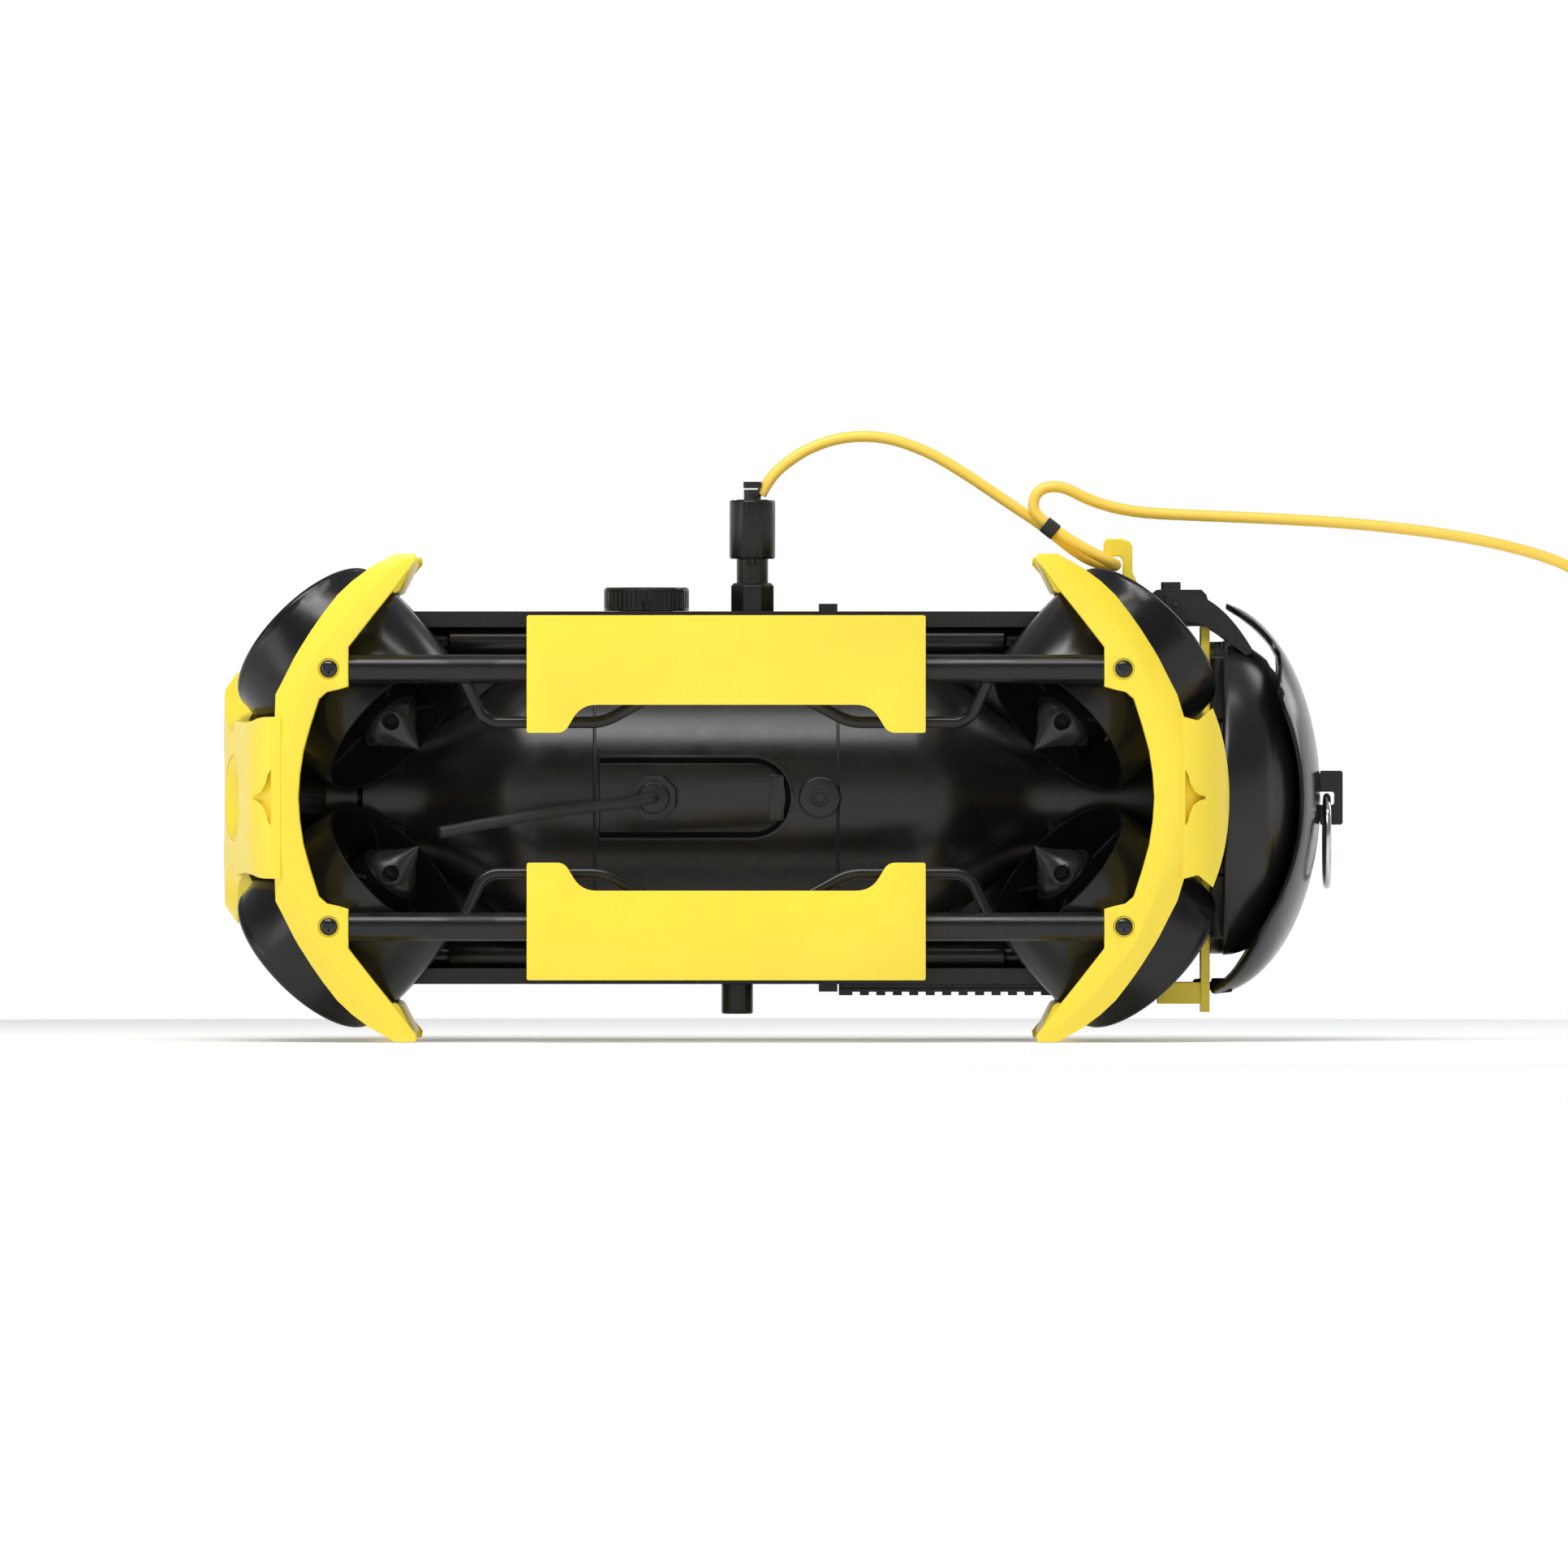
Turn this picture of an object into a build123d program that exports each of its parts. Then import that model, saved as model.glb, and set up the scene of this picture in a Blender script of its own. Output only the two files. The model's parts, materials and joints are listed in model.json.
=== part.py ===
"""Tethered underwater drone with eight vectored thrusters, yellow bumpers and a tail guard.

Millimetres. +X is the tail, -Y is port, +Z is up. The origin is at the middle of the
underside, on the plane that the bumper tips stand on.
"""
import os
from math import acos, cos, pi, radians, sin, sqrt, tan

from build123d import *

os.makedirs("parts", exist_ok=True)

# ---- driving dimensions -----------------------------------------------------------
HEIGHT = 294.0            # over the bumper tips
HALF_WIDTH = 147.0        # to the outer face of the side grips
NOSE_X = -340.0           # front of the nose band
TAIL_X = 340.0            # rear face of the tow boss
MID_X = -34.0             # plane of symmetry of hull, thrusters and bumper arms
MID_Z = HEIGHT / 2        # hull axis

HULL_R = 80.0
NECK_R = 38.0
WALL = 4.0
JOINT_GAP = 1.5           # black seam between the hull sections

DUCT_L = 83.5             # outlet plane to inlet lip
DUCT_BORE = 49.5
DUCT_BELLY = 56.2
LEAN_Y = 0.38             # sideways part of a thruster's axis
LEAN_XZ = sqrt((1 - LEAN_Y ** 2) / 2)
OUTLET_U = 200.3          # outlet centre from MID_X
OUTLET_Y = 83.6
OUTLET_Z = 43.5
MOTOR_R = 17.0

ARM_IN = 126.5            # inner and outer faces of the bumper arms
ARM_OUT = 146.0
TUBE_R = 8.65
TUBE_Z = 77.6             # side tubes above and below the hull axis
TUBE_Y_END = 135.0
TUBE_Y_MID = 129.0
ROD_R = 3.6

GRIP_X0, GRIP_X1 = -154.2, 85.9
GRIP_TOP = 110.0
GRIP_LOW = 56.0
GRIP_FOOT = 39.0

DOME_R = 95.5
DOME_SEAT_R = 62.0        # spigot that passes between the thruster lips
COLLAR_W = 42.0           # half-width of the rim above and below the spigot
SHELL_A, SHELL_B = 67.7, 119.5   # tail guard ellipsoid: length and radius
SHELL_T = 3.0

TETHER_X = -18.5
TETHER_D = 7.0


def hull_plane(z=0.0):
    """Horizontal plane at a height above the hull axis."""
    return Plane.XY.offset(MID_Z + z)


def side_plane(y):
    """Vertical lengthwise plane: local x is +X, local y is +Z, normal is -Y."""
    return Plane(origin=(0, y, MID_Z), x_dir=(1, 0, 0), z_dir=(0, -1, 0))


def cross_plane(x):
    """Plane across the hull: local x is +Y, local y is +Z, normal is +X."""
    return Plane(origin=(x, 0, MID_Z), x_dir=(0, 1, 0), z_dir=(1, 0, 0))


def save(builder, name):
    builder.part.label = name
    export_step(builder.part, f"parts/{name}.step")


def turned(profile, axis=Axis((0, 0, MID_Z), (1, 0, 0))):
    """Revolve a closed (x, radius) outline about the hull axis."""
    with BuildPart() as body:
        with BuildSketch(side_plane(0)):
            with BuildLine():
                Polyline(*profile, close=True)
            make_face()
        revolve(axis=axis)
    return body.part


# ---- hull -------------------------------------------------------------------------
CENTER_X0, CENTER_X1 = -113.0, 32.5
BORE_R = HULL_R - WALL


def tapered_cone(end, joint_x):
    """Hull end: a drum that sweeps down to the neck; end is -1 front, +1 rear."""
    shoulder = MID_X + end * 112
    neck = MID_X + end * 196
    tip = MID_X + end * 221
    with BuildPart() as cone:
        with BuildSketch(side_plane(0)):
            with BuildLine():
                Line((joint_x, HULL_R), (shoulder, HULL_R))
                Spline((shoulder, HULL_R), (neck, NECK_R),
                       tangents=((end, 0), (end, 0)), tangent_scalars=(1.1, 1.1))
                Line((neck, NECK_R), (tip, NECK_R))
                Line((tip, NECK_R), (tip, NECK_R - WALL))
                Line((tip, NECK_R - WALL), (neck, NECK_R - WALL))
                Spline((neck, NECK_R - WALL), (shoulder, BORE_R),
                       tangents=((-end, 0), (-end, 0)), tangent_scalars=(1.1, 1.1))
                Line((shoulder, BORE_R), (joint_x, BORE_R))
                Line((joint_x, BORE_R), (joint_x, HULL_R))
            make_face()
        revolve(axis=Axis((0, 0, MID_Z), (1, 0, 0)))
    return cone


hull_center = turned([(CENTER_X0, BORE_R), (CENTER_X0, HULL_R),
                      (CENTER_X1, HULL_R), (CENTER_X1, BORE_R)])
HATCH_X0, HATCH_X1, HATCH_HALF = -111.0, 6.5, 25.5
GLAND_X, VENT_X = -78.2, 22.4
STEM_R = 5.0
with BuildPart() as center:
    add(hull_center)
    with BuildSketch(side_plane(-HULL_R - 1)):
        with Locations((GLAND_X, 0)):
            Circle(9.0)
        with Locations((VENT_X, 0)):
            Circle(STEM_R)
    extrude(amount=-30, mode=Mode.SUBTRACT)
save(center, "hull_center")

FRONT_JOINT = CENTER_X0 - JOINT_GAP
REAR_JOINT = CENTER_X1 + JOINT_GAP
front_cone = tapered_cone(-1, FRONT_JOINT)
save(front_cone, "hull_front_cone")
PLATE_X = 253.6           # tail carrier plate
PLATE_T = 5.3
SHELL_X = PLATE_X + PLATE_T
HUB_R = 19.9
with BuildPart() as rear_cone:
    add(tapered_cone(1, REAR_JOINT).part)
    add(turned([(MID_X + 220, 0), (MID_X + 220, NECK_R), (PLATE_X, NECK_R), (PLATE_X, HUB_R),
                (SHELL_X + 3, HUB_R), (SHELL_X + 3, 0)]))
save(rear_cone, "hull_rear_cone")

with BuildPart() as seals:
    for joint_x in (CENTER_X0 - JOINT_GAP / 2, CENTER_X1 + JOINT_GAP / 2):
        add(turned([(joint_x - JOINT_GAP / 2, BORE_R), (joint_x - JOINT_GAP / 2, HULL_R - 1),
                    (joint_x + JOINT_GAP / 2, HULL_R - 1), (joint_x + JOINT_GAP / 2, BORE_R)]))
save(seals, "hull_seals")

with BuildPart() as battery:
    with BuildSketch(cross_plane(-40)):
        with Locations((0, 0)):
            RectangleRounded(100, 84, 10)
    extrude(amount=110)
save(battery, "battery_pack")

with BuildPart() as tray:
    with BuildSketch(cross_plane(-150)):
        Rectangle(104, 3)
        with Locations((0, 14), (0, -14)):
            Rectangle(80, 25)
    extrude(amount=104)
save(tray, "electronics_tray")

with BuildPart() as hatch:
    with BuildSketch(side_plane(-HULL_R - 3)):
        with BuildLine():
            Polyline((HATCH_X1 - HATCH_HALF, HATCH_HALF), (HATCH_X0, HATCH_HALF),
                     (HATCH_X0, -HATCH_HALF), (HATCH_X1 - HATCH_HALF, -HATCH_HALF))
            ThreePointArc((HATCH_X1 - HATCH_HALF, -HATCH_HALF), (HATCH_X1, 0),
                          (HATCH_X1 - HATCH_HALF, HATCH_HALF))
        make_face()
        with Locations((GLAND_X, 0)):
            Circle(15.0, mode=Mode.SUBTRACT)
    extrude(amount=-30)
    add(turned([(-125, 0), (-125, HULL_R + 1.8), (20, HULL_R + 1.8), (20, 0)]),
        mode=Mode.INTERSECT)
    add(turned([(-126, 0), (-126, HULL_R + 0.02), (21, HULL_R + 0.02), (21, 0)]),
        mode=Mode.SUBTRACT)
save(hatch, "hatch_cover")

with BuildPart() as vent:
    with BuildSketch(side_plane(-HULL_R - 0.4)):
        with Locations((VENT_X, 0)):
            Circle(12.8)
    extrude(amount=3.6)
    chamfer(vent.edges().filter_by(GeomType.CIRCLE).sort_by(Axis.Y)[0], 1.2)
    with BuildSketch(side_plane(-HULL_R - 4.0)):
        with Locations((VENT_X, 0)):
            Circle(5.3)
            RegularPolygon(3.2, 6, mode=Mode.SUBTRACT)
    extrude(amount=-1.6, mode=Mode.SUBTRACT)
    with BuildSketch(side_plane(-HULL_R - 0.4)):
        with Locations((VENT_X, 0)):
            Circle(STEM_R - 0.05)
    extrude(amount=-8)
save(vent, "vent_plug")

with BuildPart() as gland:
    with BuildSketch(side_plane(-HULL_R + 9)):
        with Locations((GLAND_X, 0)):
            Circle(8.8)
    extrude(amount=8)
    with BuildSketch(side_plane(-HULL_R - 0.05)):
        with Locations((GLAND_X, 0)):
            RegularPolygon(14.4, 8, rotation=22.5)
    extrude(amount=6)
    with BuildSketch(side_plane(-HULL_R - 6)):
        with Locations((GLAND_X, 0)):
            Circle(9.6)
    extrude(amount=4)
    chamfer(gland.edges().filter_by(GeomType.CIRCLE).sort_by(Axis.Y)[0], 1.0)
save(gland, "cable_gland")


# ---- thrusters --------------------------------------------------------------------
class Thruster:
    """Place and axes of one thruster; end -1 front, side -1 port, up -1 lower."""

    def __init__(self, end, side, up):
        self.end, self.side, self.up = end, side, up
        self.axis = Vector(end * LEAN_XZ, -side * LEAN_Y, up * LEAN_XZ)
        self.outlet = Vector(MID_X + end * OUTLET_U, side * OUTLET_Y, MID_Z + up * OUTLET_Z)
        across = Vector(0, side, 0)
        self.out = (across - self.axis * across.dot(self.axis)).normalized()

    def at(self, distance):
        return self.outlet + self.axis * distance

    def profile_plane(self):
        """Local x is the radius towards the side, local y runs along the axis."""
        return Plane(origin=self.outlet, x_dir=self.out, z_dir=self.out.cross(self.axis))

    def spoke(self, turn):
        """Unit vector square to the axis, turned from the outboard direction."""
        return self.out * cos(radians(turn)) + self.axis.cross(self.out) * sin(radians(turn))

    def face_plane(self, distance, turn=0.0):
        return Plane(origin=self.at(distance), x_dir=self.spoke(turn), z_dir=self.axis)

    def blade_plane(self, distance, turn, radius, pitch):
        """Plane square to a spoke, its x along the blade's chord."""
        spoke = self.spoke(turn)
        chord = self.axis.cross(spoke) * cos(radians(pitch)) + self.axis * sin(radians(pitch))
        return Plane(origin=self.at(distance) + spoke * radius, x_dir=chord, z_dir=spoke)

    def line(self):
        return Axis(self.outlet, self.axis)


def thruster_name(t, word):
    ends = {-1: "front", 1: "rear"}
    sides = {-1: "port", 1: "starboard"}
    ups = {-1: "lower", 1: "upper"}
    return f"{word}_{ends[t.end]}_{ups[t.up]}_{sides[t.side]}"


THRUSTERS = [Thruster(end, side, up) for end in (-1, 1) for side in (-1, 1) for up in (1, -1)]
COLLAR_R = MOTOR_R + 3.0
VANE_T0, VANE_T1 = 10.0, 34.0
PAD_U, PAD_Z = 246.0, 90.0


def duct_feet(t):
    """Pad against the bumper arm and saddle on the hull neck, kept outside the bore."""
    foot_way = Vector(0, t.side * 0.864, t.up * 0.503)
    foot_from = Vector(MID_X + t.end * 205, 0, MID_Z)
    with BuildPart() as feet:
        with BuildSketch(side_plane(t.side * 108)):
            with Locations((MID_X + t.end * PAD_U, t.up * PAD_Z)):
                Circle(8)
        extrude(amount=-t.side * (ARM_IN - 108))
        with BuildSketch(Plane(origin=foot_from + foot_way * (NECK_R + 0.05),
                               x_dir=(1, 0, 0), z_dir=foot_way)):
            RectangleRounded(20, 10, 3)
        extrude(amount=12)
        with BuildSketch(t.face_plane(-20)):
            Circle(DUCT_BORE + 1.6)
        extrude(amount=120, mode=Mode.SUBTRACT)
    return feet.part


def duct(t):
    """Flared ring with a bull-nose lip, three stator vanes, a motor collar and two feet."""
    with BuildPart() as ring:
        with BuildSketch(t.profile_plane()):
            with BuildLine():
                Line((DUCT_BORE + 0.3, 0), (DUCT_BORE + 2, 0))
                Spline((DUCT_BORE + 2, 0), (DUCT_BELLY, 44), (DUCT_BELLY - 1, DUCT_L - 4),
                       tangents=((0.22, 1), (-0.12, 1)))
                ThreePointArc((DUCT_BELLY - 1, DUCT_L - 4), (DUCT_BELLY - 5, DUCT_L + 0.6),
                              (DUCT_BORE - 1, DUCT_L - 4))
                Line((DUCT_BORE - 1, DUCT_L - 4), (DUCT_BORE, 40))
                Line((DUCT_BORE, 40), (DUCT_BORE + 0.3, 0))
            make_face()
        revolve(axis=t.line())
        add(duct_feet(t))
        for turn in (30, 150, 270):
            with BuildSketch(t.face_plane(VANE_T0, turn)):
                with Locations(((COLLAR_R + DUCT_BORE) / 2, 0)):
                    Rectangle(DUCT_BORE - COLLAR_R + 1.6, 3.0)
            extrude(amount=VANE_T1 - VANE_T0)
        with BuildSketch(t.face_plane(4)):
            Circle(COLLAR_R)
            Circle(MOTOR_R + 0.15, mode=Mode.SUBTRACT)
        extrude(amount=36)
    return ring


def propeller(t):
    """Spinner with a shaft bore and four pitched blades."""
    blades = 4
    with BuildPart() as prop:
        with BuildSketch(t.profile_plane()):
            with BuildLine():
                Polyline((3.1, 68), (3.1, 47), (15, 47), (16, 50), (16, 62))
                Spline((16, 62), (11, 73), (0, 78), tangents=((0, 1), (-1, 0)))
                Polyline((0, 78), (0, 68), (3.1, 68))
            make_face()
        revolve(axis=t.line())
        for number in range(blades):
            turn = 360 / blades * number
            with BuildSketch(t.blade_plane(55.5, turn, 14, 38)):
                RectangleRounded(17, 3.2, 1.4)
            with BuildSketch(t.blade_plane(55.5, turn, 45.5, 22)):
                RectangleRounded(25, 1.6, 0.7)
            loft()
    return prop


with BuildPart() as motors:
    for place in THRUSTERS:
        with BuildSketch(place.profile_plane()):
            with BuildLine():
                Spline((0, -22), (9.5, -8), (MOTOR_R, 6), tangents=((0.75, 1), (0, 1)))
                Polyline((MOTOR_R, 6), (MOTOR_R, 42), (15, 44), (3, 44), (3, 66), (0, 66),
                         (0, -22))
            make_face()
        revolve(axis=place.line())
save(motors, "thruster_motors")

for place in THRUSTERS:
    save(duct(place), thruster_name(place, "duct"))
    save(propeller(place), thruster_name(place, "propeller"))

# ---- thruster cable: gland to the lower front port duct ---------------------------
CABLE_R = 3.5
cable_route = [(GLAND_X, -HULL_R - 10, MID_Z), (GLAND_X - 1, -HULL_R - 18, MID_Z - 0.5),
               (GLAND_X - 14, -HULL_R - 24, MID_Z - 3), (-131, -HULL_R - 24, MID_Z - 7.5),
               (-178, -108, MID_Z - 15.5), (-207, -113, MID_Z - 21)]
with BuildPart() as cable:
    with BuildLine():
        FilletPolyline(*cable_route, radius=[4.2, 6, 60, 60])
    with BuildSketch(Plane(origin=cable_route[0], z_dir=(0, -1, 0))):
        Circle(CABLE_R)
    sweep()
save(cable, "thruster_cable")


# ---- bumpers ----------------------------------------------------------------------
def arm_pair(end):
    """Port and starboard C arms, each with two tube sockets and two screw recesses."""
    outer = [(274.5, 0), (274.5, 49), (271.5, 62.3), (257.4, 89.3), (247.4, 104.8),
             (233.4, 123.3), (217.1, 137.3), (199.4, 147), (187.3, 147), (186.5, 143)]
    inner = [(198, 128.2), (212.2, 110.5), (227.6, 90.7), (227.6, 66.6), (240, 63.7),
             (245.3, 59.5), (250.3, 43.9), (254.6, 28.4), (257.7, 0)]
    with BuildPart() as arms:
        for side in (-1, 1):
            for up in (1, -1):
                with BuildSketch(side_plane(side * ARM_IN)):
                    with BuildLine():
                        Polyline(*[(MID_X + end * u, up * z) for u, z in outer + inner],
                                 close=True)
                    make_face()
                extrude(amount=-side * (ARM_OUT - ARM_IN))
                with BuildSketch(side_plane(side * (ARM_OUT - 1.6))):
                    with Locations((MID_X + end * SCREW_U, up * TUBE_Z)):
                        Circle(6.4)
                extrude(amount=-side * 4, mode=Mode.SUBTRACT)
                with BuildSketch(cross_plane(MID_X + end * 226)):
                    with Locations((side * TUBE_Y_END, up * TUBE_Z)):
                        Circle(TUBE_R)
                extrude(amount=end * 24, mode=Mode.SUBTRACT)
    return arms


SCREW_U = 239.4
save(arm_pair(-1), "front_arms")
save(arm_pair(1), "rear_arms")

CROSS_U, CROSS_L, CROSS_H = 189.0, 14.0, 14.0
with BuildPart() as crossbars:
    for end in (-1, 1):
        for up in (1, -1):
            with BuildSketch(cross_plane(MID_X + end * CROSS_U)):
                with Locations((0, up * (HEIGHT / 2 - CROSS_H / 2 - 1.5))):
                    Rectangle(2 * ARM_IN, CROSS_H)
            extrude(amount=end * CROSS_L)
    fillet(crossbars.edges().filter_by(Axis.Y), 3)
save(crossbars, "crossbars")

CORNER_T = 17.0
SEAM_U = 274.5
NOSE_PLAN = [(NOSE_X, 0), (-338.5, 32), (-333, 63), (-325, 92), (-314.5, 125), (-309, ARM_OUT)]
NOSE_EDGE = [(0, 76), (9, 66), (20, 56), (32, 50), (50, 47), (92, 46.5), (ARM_OUT, 48)]
LAMP_Y, LAMP_R, LAMP_TURN = 63.0, 26.0, 12.6
CAMERA_R = 33.0


def lamp_plane(side, back):
    """Plane square to a headlight, so many millimetres behind the nose surface."""
    turn = radians(LAMP_TURN)
    facing = Vector(-cos(turn), side * sin(turn), 0)
    return Plane(origin=Vector(-333, side * LAMP_Y, MID_Z) - facing * back,
                 x_dir=(0, 1, 0), z_dir=facing)


with BuildPart() as nose:
    with BuildSketch(hull_plane(-80)):
        with BuildLine():
            Spline(*[(x, -y) for x, y in reversed(NOSE_PLAN)], *NOSE_PLAN[1:])
            Polyline((-309, ARM_OUT), (MID_X - SEAM_U, ARM_OUT),
                     (MID_X - SEAM_U, ARM_OUT - CORNER_T), (-309.5, 120), (-318, 92),
                     (-326, 58), (-330, 34), (-330, -34), (-326, -58), (-318, -92), (-309.5, -120),
                     (MID_X - SEAM_U, CORNER_T - ARM_OUT), (MID_X - SEAM_U, -ARM_OUT),
                     (-309, -ARM_OUT))
        make_face()
    extrude(amount=160)
    with BuildSketch(cross_plane(NOSE_X - 5)):
        with BuildLine():
            for sy, sz in ((1, 1), (1, -1), (-1, -1), (-1, 1)):
                Spline(*[(sy * y, sz * z) for y, z in NOSE_EDGE])
            for sy in (1, -1):
                Line((sy * ARM_OUT, 48), (sy * ARM_OUT, -48))
        make_face()
    extrude(amount=60, mode=Mode.INTERSECT)
    with BuildSketch(cross_plane(NOSE_X - 5)):
        Circle(CAMERA_R)
    extrude(amount=40, mode=Mode.SUBTRACT)
    for side in (-1, 1):
        with BuildSketch(lamp_plane(side, -15)):
            Circle(LAMP_R)
        extrude(amount=-60, mode=Mode.SUBTRACT)
save(nose, "front_nose")

with BuildPart() as yoke:
    for side in (-1, 1):
        with BuildSketch(hull_plane(-60)):
            with BuildLine():
                Spline((MID_X + SEAM_U, side * ARM_OUT), (MID_X + 289, side * 141),
                       (MID_X + 303.3, side * 118))
                Polyline((MID_X + 303.3, side * 118), (MID_X + 297, side * 114),
                         (MID_X + 286, side * (ARM_OUT - CORNER_T)),
                         (MID_X + SEAM_U, side * (ARM_OUT - CORNER_T)),
                         (MID_X + SEAM_U, side * ARM_OUT))
            make_face()
        extrude(amount=120)
    with BuildSketch(side_plane(-160)):
        with BuildLine():
            Polyline((MID_X + 293, 54), (MID_X + 284, 46.5), (MID_X + SEAM_U, 49),
                     (MID_X + SEAM_U, -49), (MID_X + 284, -46.5), (MID_X + 293, -54))
            Spline((MID_X + 293, -54), (MID_X + 299.6, -33.5), (MID_X + 303.3, 0),
                   (MID_X + 299.6, 33.5), (MID_X + 293, 54))
        make_face()
    extrude(amount=-320, mode=Mode.INTERSECT)
save(yoke, "rear_yoke")

# ---- camera and lights ------------------------------------------------------------
with BuildPart() as camera_housing:
    add(turned([(-329, 0), (-329, CAMERA_R - 0.3), (-316, CAMERA_R - 0.3), (-312, 29.5),
                (-293, 29.5), (-293, 34), (-277, 34), (-277, NECK_R), (-258, NECK_R), (-258, 0)]))
    add(turned([(-330, 0), (-330, 27), (-300, 27), (-300, 14), (-290, 14), (-290, 0)]),
        mode=Mode.SUBTRACT)

with BuildPart() as camera:
    add(turned([(-290, 0), (-290, 13.9), (-312, 13.9), (-314, 12), (-320, 12), (-320, 0)]))
    with BuildSketch(cross_plane(-300)):
        Rectangle(53.0, 40)
        Circle(13, mode=Mode.SUBTRACT)
    extrude(amount=-3)
    add(turned([(-299, 0), (-299, 26.9), (-304, 26.9), (-304, 0)]), mode=Mode.INTERSECT)
    add(turned([(-290, 0), (-290, 13.9), (-312, 13.9), (-314, 12), (-320, 12), (-320, 0)]))
with BuildPart() as camera_unit:
    add(camera_housing.part)
    add(camera.part)
save(camera_unit, "camera_unit")

WINDOW_C, WINDOW_R, WINDOW_T = -305.0, 33.5, 3.0
rim_x = -sqrt(WINDOW_R ** 2 - 26.9 ** 2) + WINDOW_C
inner_r = WINDOW_R - WINDOW_T
inner_rim = sqrt(inner_r ** 2 - (WINDOW_C + 323) ** 2)
with BuildPart() as window:
    with BuildSketch(side_plane(0)):
        with BuildLine():
            ThreePointArc((rim_x, 26.9), (WINDOW_C - WINDOW_R * cos(0.45), WINDOW_R * sin(0.45)),
                          (WINDOW_C - WINDOW_R, 0))
            Line((WINDOW_C - WINDOW_R, 0), (WINDOW_C - inner_r, 0))
            ThreePointArc((WINDOW_C - inner_r, 0),
                          (WINDOW_C - inner_r * cos(0.45), inner_r * sin(0.45)),
                          (-323, inner_rim))
            Polyline((-323, inner_rim), (-321, inner_rim), (-321, 26.9), (rim_x, 26.9))
        make_face()
    revolve(axis=Axis((0, 0, MID_Z), (1, 0, 0)))
save(window, "camera_window")

with BuildPart() as lamps:
    for side in (-1, 1):
        with BuildSketch(lamp_plane(side, 5)):
            Circle(LAMP_R)
        extrude(amount=-15)
        with BuildSketch(lamp_plane(side, 4)):
            Circle(LAMP_R - 3)
        extrude(amount=-11, mode=Mode.SUBTRACT)
        with BuildSketch(lamp_plane(side, 15)):
            with PolarLocations(12, 6):
                Circle(4.5)
        extrude(amount=2.5)
save(lamps, "headlights")

with BuildPart() as lenses:
    for side in (-1, 1):
        with BuildSketch(lamp_plane(side, 7)):
            Circle(LAMP_R - 3)
        extrude(amount=-3)
save(lenses, "headlight_lenses")

# ---- top and bottom spines --------------------------------------------------------
SPINE_HALF, SPINE_TOP, SPINE_LOW = 34.0, 113.0, 103.4
RAIL_Y, RAIL_R = 24.0, 8.2
CAP_X, CAP_R, CAP_H = -82.8, 25.8, 14.2
with BuildPart() as spines:
    for up in (1, -1):
        with BuildSketch(cross_plane(MID_X - 193)):
            with BuildLine():
                Polyline((-SPINE_HALF, up * SPINE_LOW), (-SPINE_HALF, up * SPINE_TOP),
                         (SPINE_HALF, up * SPINE_TOP), (SPINE_HALF, up * SPINE_LOW),
                         (RAIL_Y - 5, up * SPINE_LOW), (RAIL_Y - 5, up * 109),
                         (5 - RAIL_Y, up * 109), (5 - RAIL_Y, up * SPINE_LOW), close=True)
            make_face()
        extrude(amount=386)
        with BuildSketch(cross_plane(MID_X - 168)):
            with Locations(*[(side * RAIL_Y, up * (SPINE_LOW - RAIL_R + 0.3))
                             for side in (1, -1)]):
                Circle(RAIL_R)
        extrude(amount=336)
        for end in (-1, 1):
            with BuildSketch(cross_plane(MID_X + end * 193)):
                with Locations((-16, up * 120.2), (16, up * 120.2)):
                    Rectangle(8, 22.4)
            extrude(amount=-end * 5)
        with BuildSketch(hull_plane(up * 79)):
            with Locations((MID_X - 75, 0), (MID_X + 75, 0)):
                RectangleRounded(18, 24, 4)
        extrude(amount=up * 31)
    with BuildSketch(hull_plane(82)):
        with Locations((CAP_X, 0)):
            Circle(17)
        with Locations((TETHER_X, 0)):
            Circle(9.1)
    extrude(amount=38, mode=Mode.SUBTRACT)
    add(turned([(-200, 0), (-200, HULL_R + 0.02), (130, HULL_R + 0.02), (130, 0)]),
        mode=Mode.SUBTRACT)
save(spines, "spine_rails")

with BuildPart() as clips:
    for up in (1, -1):
        with BuildSketch(cross_plane(21.8)):
            with Locations((0, up * 110)):
                Rectangle(2 * SPINE_HALF + 8, 15.2)
            with Locations((0, up * 107.2)):
                Rectangle(2 * SPINE_HALF, 11.6, mode=Mode.SUBTRACT)
            with Locations((0, up * 103)):
                Rectangle(2 * SPINE_HALF - 6, 6, mode=Mode.SUBTRACT)
        extrude(amount=11.3)

RAIL_X0, RAIL_X1 = 34.0, 165.0
with BuildPart() as accessory:
    with BuildSketch(cross_plane(RAIL_X0)):
        with Locations((0, -116.5)):
            Rectangle(20, 7)
        for side in (-1, 1):
            with Locations((side * 10, -114.6)):
                Rectangle(5, 2.4, mode=Mode.SUBTRACT)
    extrude(amount=RAIL_X1 - RAIL_X0)
    with BuildSketch(hull_plane(-120.5)):
        with GridLocations(10, 1, 12, 1):
            with Locations(((RAIL_X0 + RAIL_X1) / 2, 0)):
                Rectangle(4.5, 30)
    extrude(amount=2.6, mode=Mode.SUBTRACT)
    add(clips.part)
save(accessory, "accessory_rail")

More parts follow.
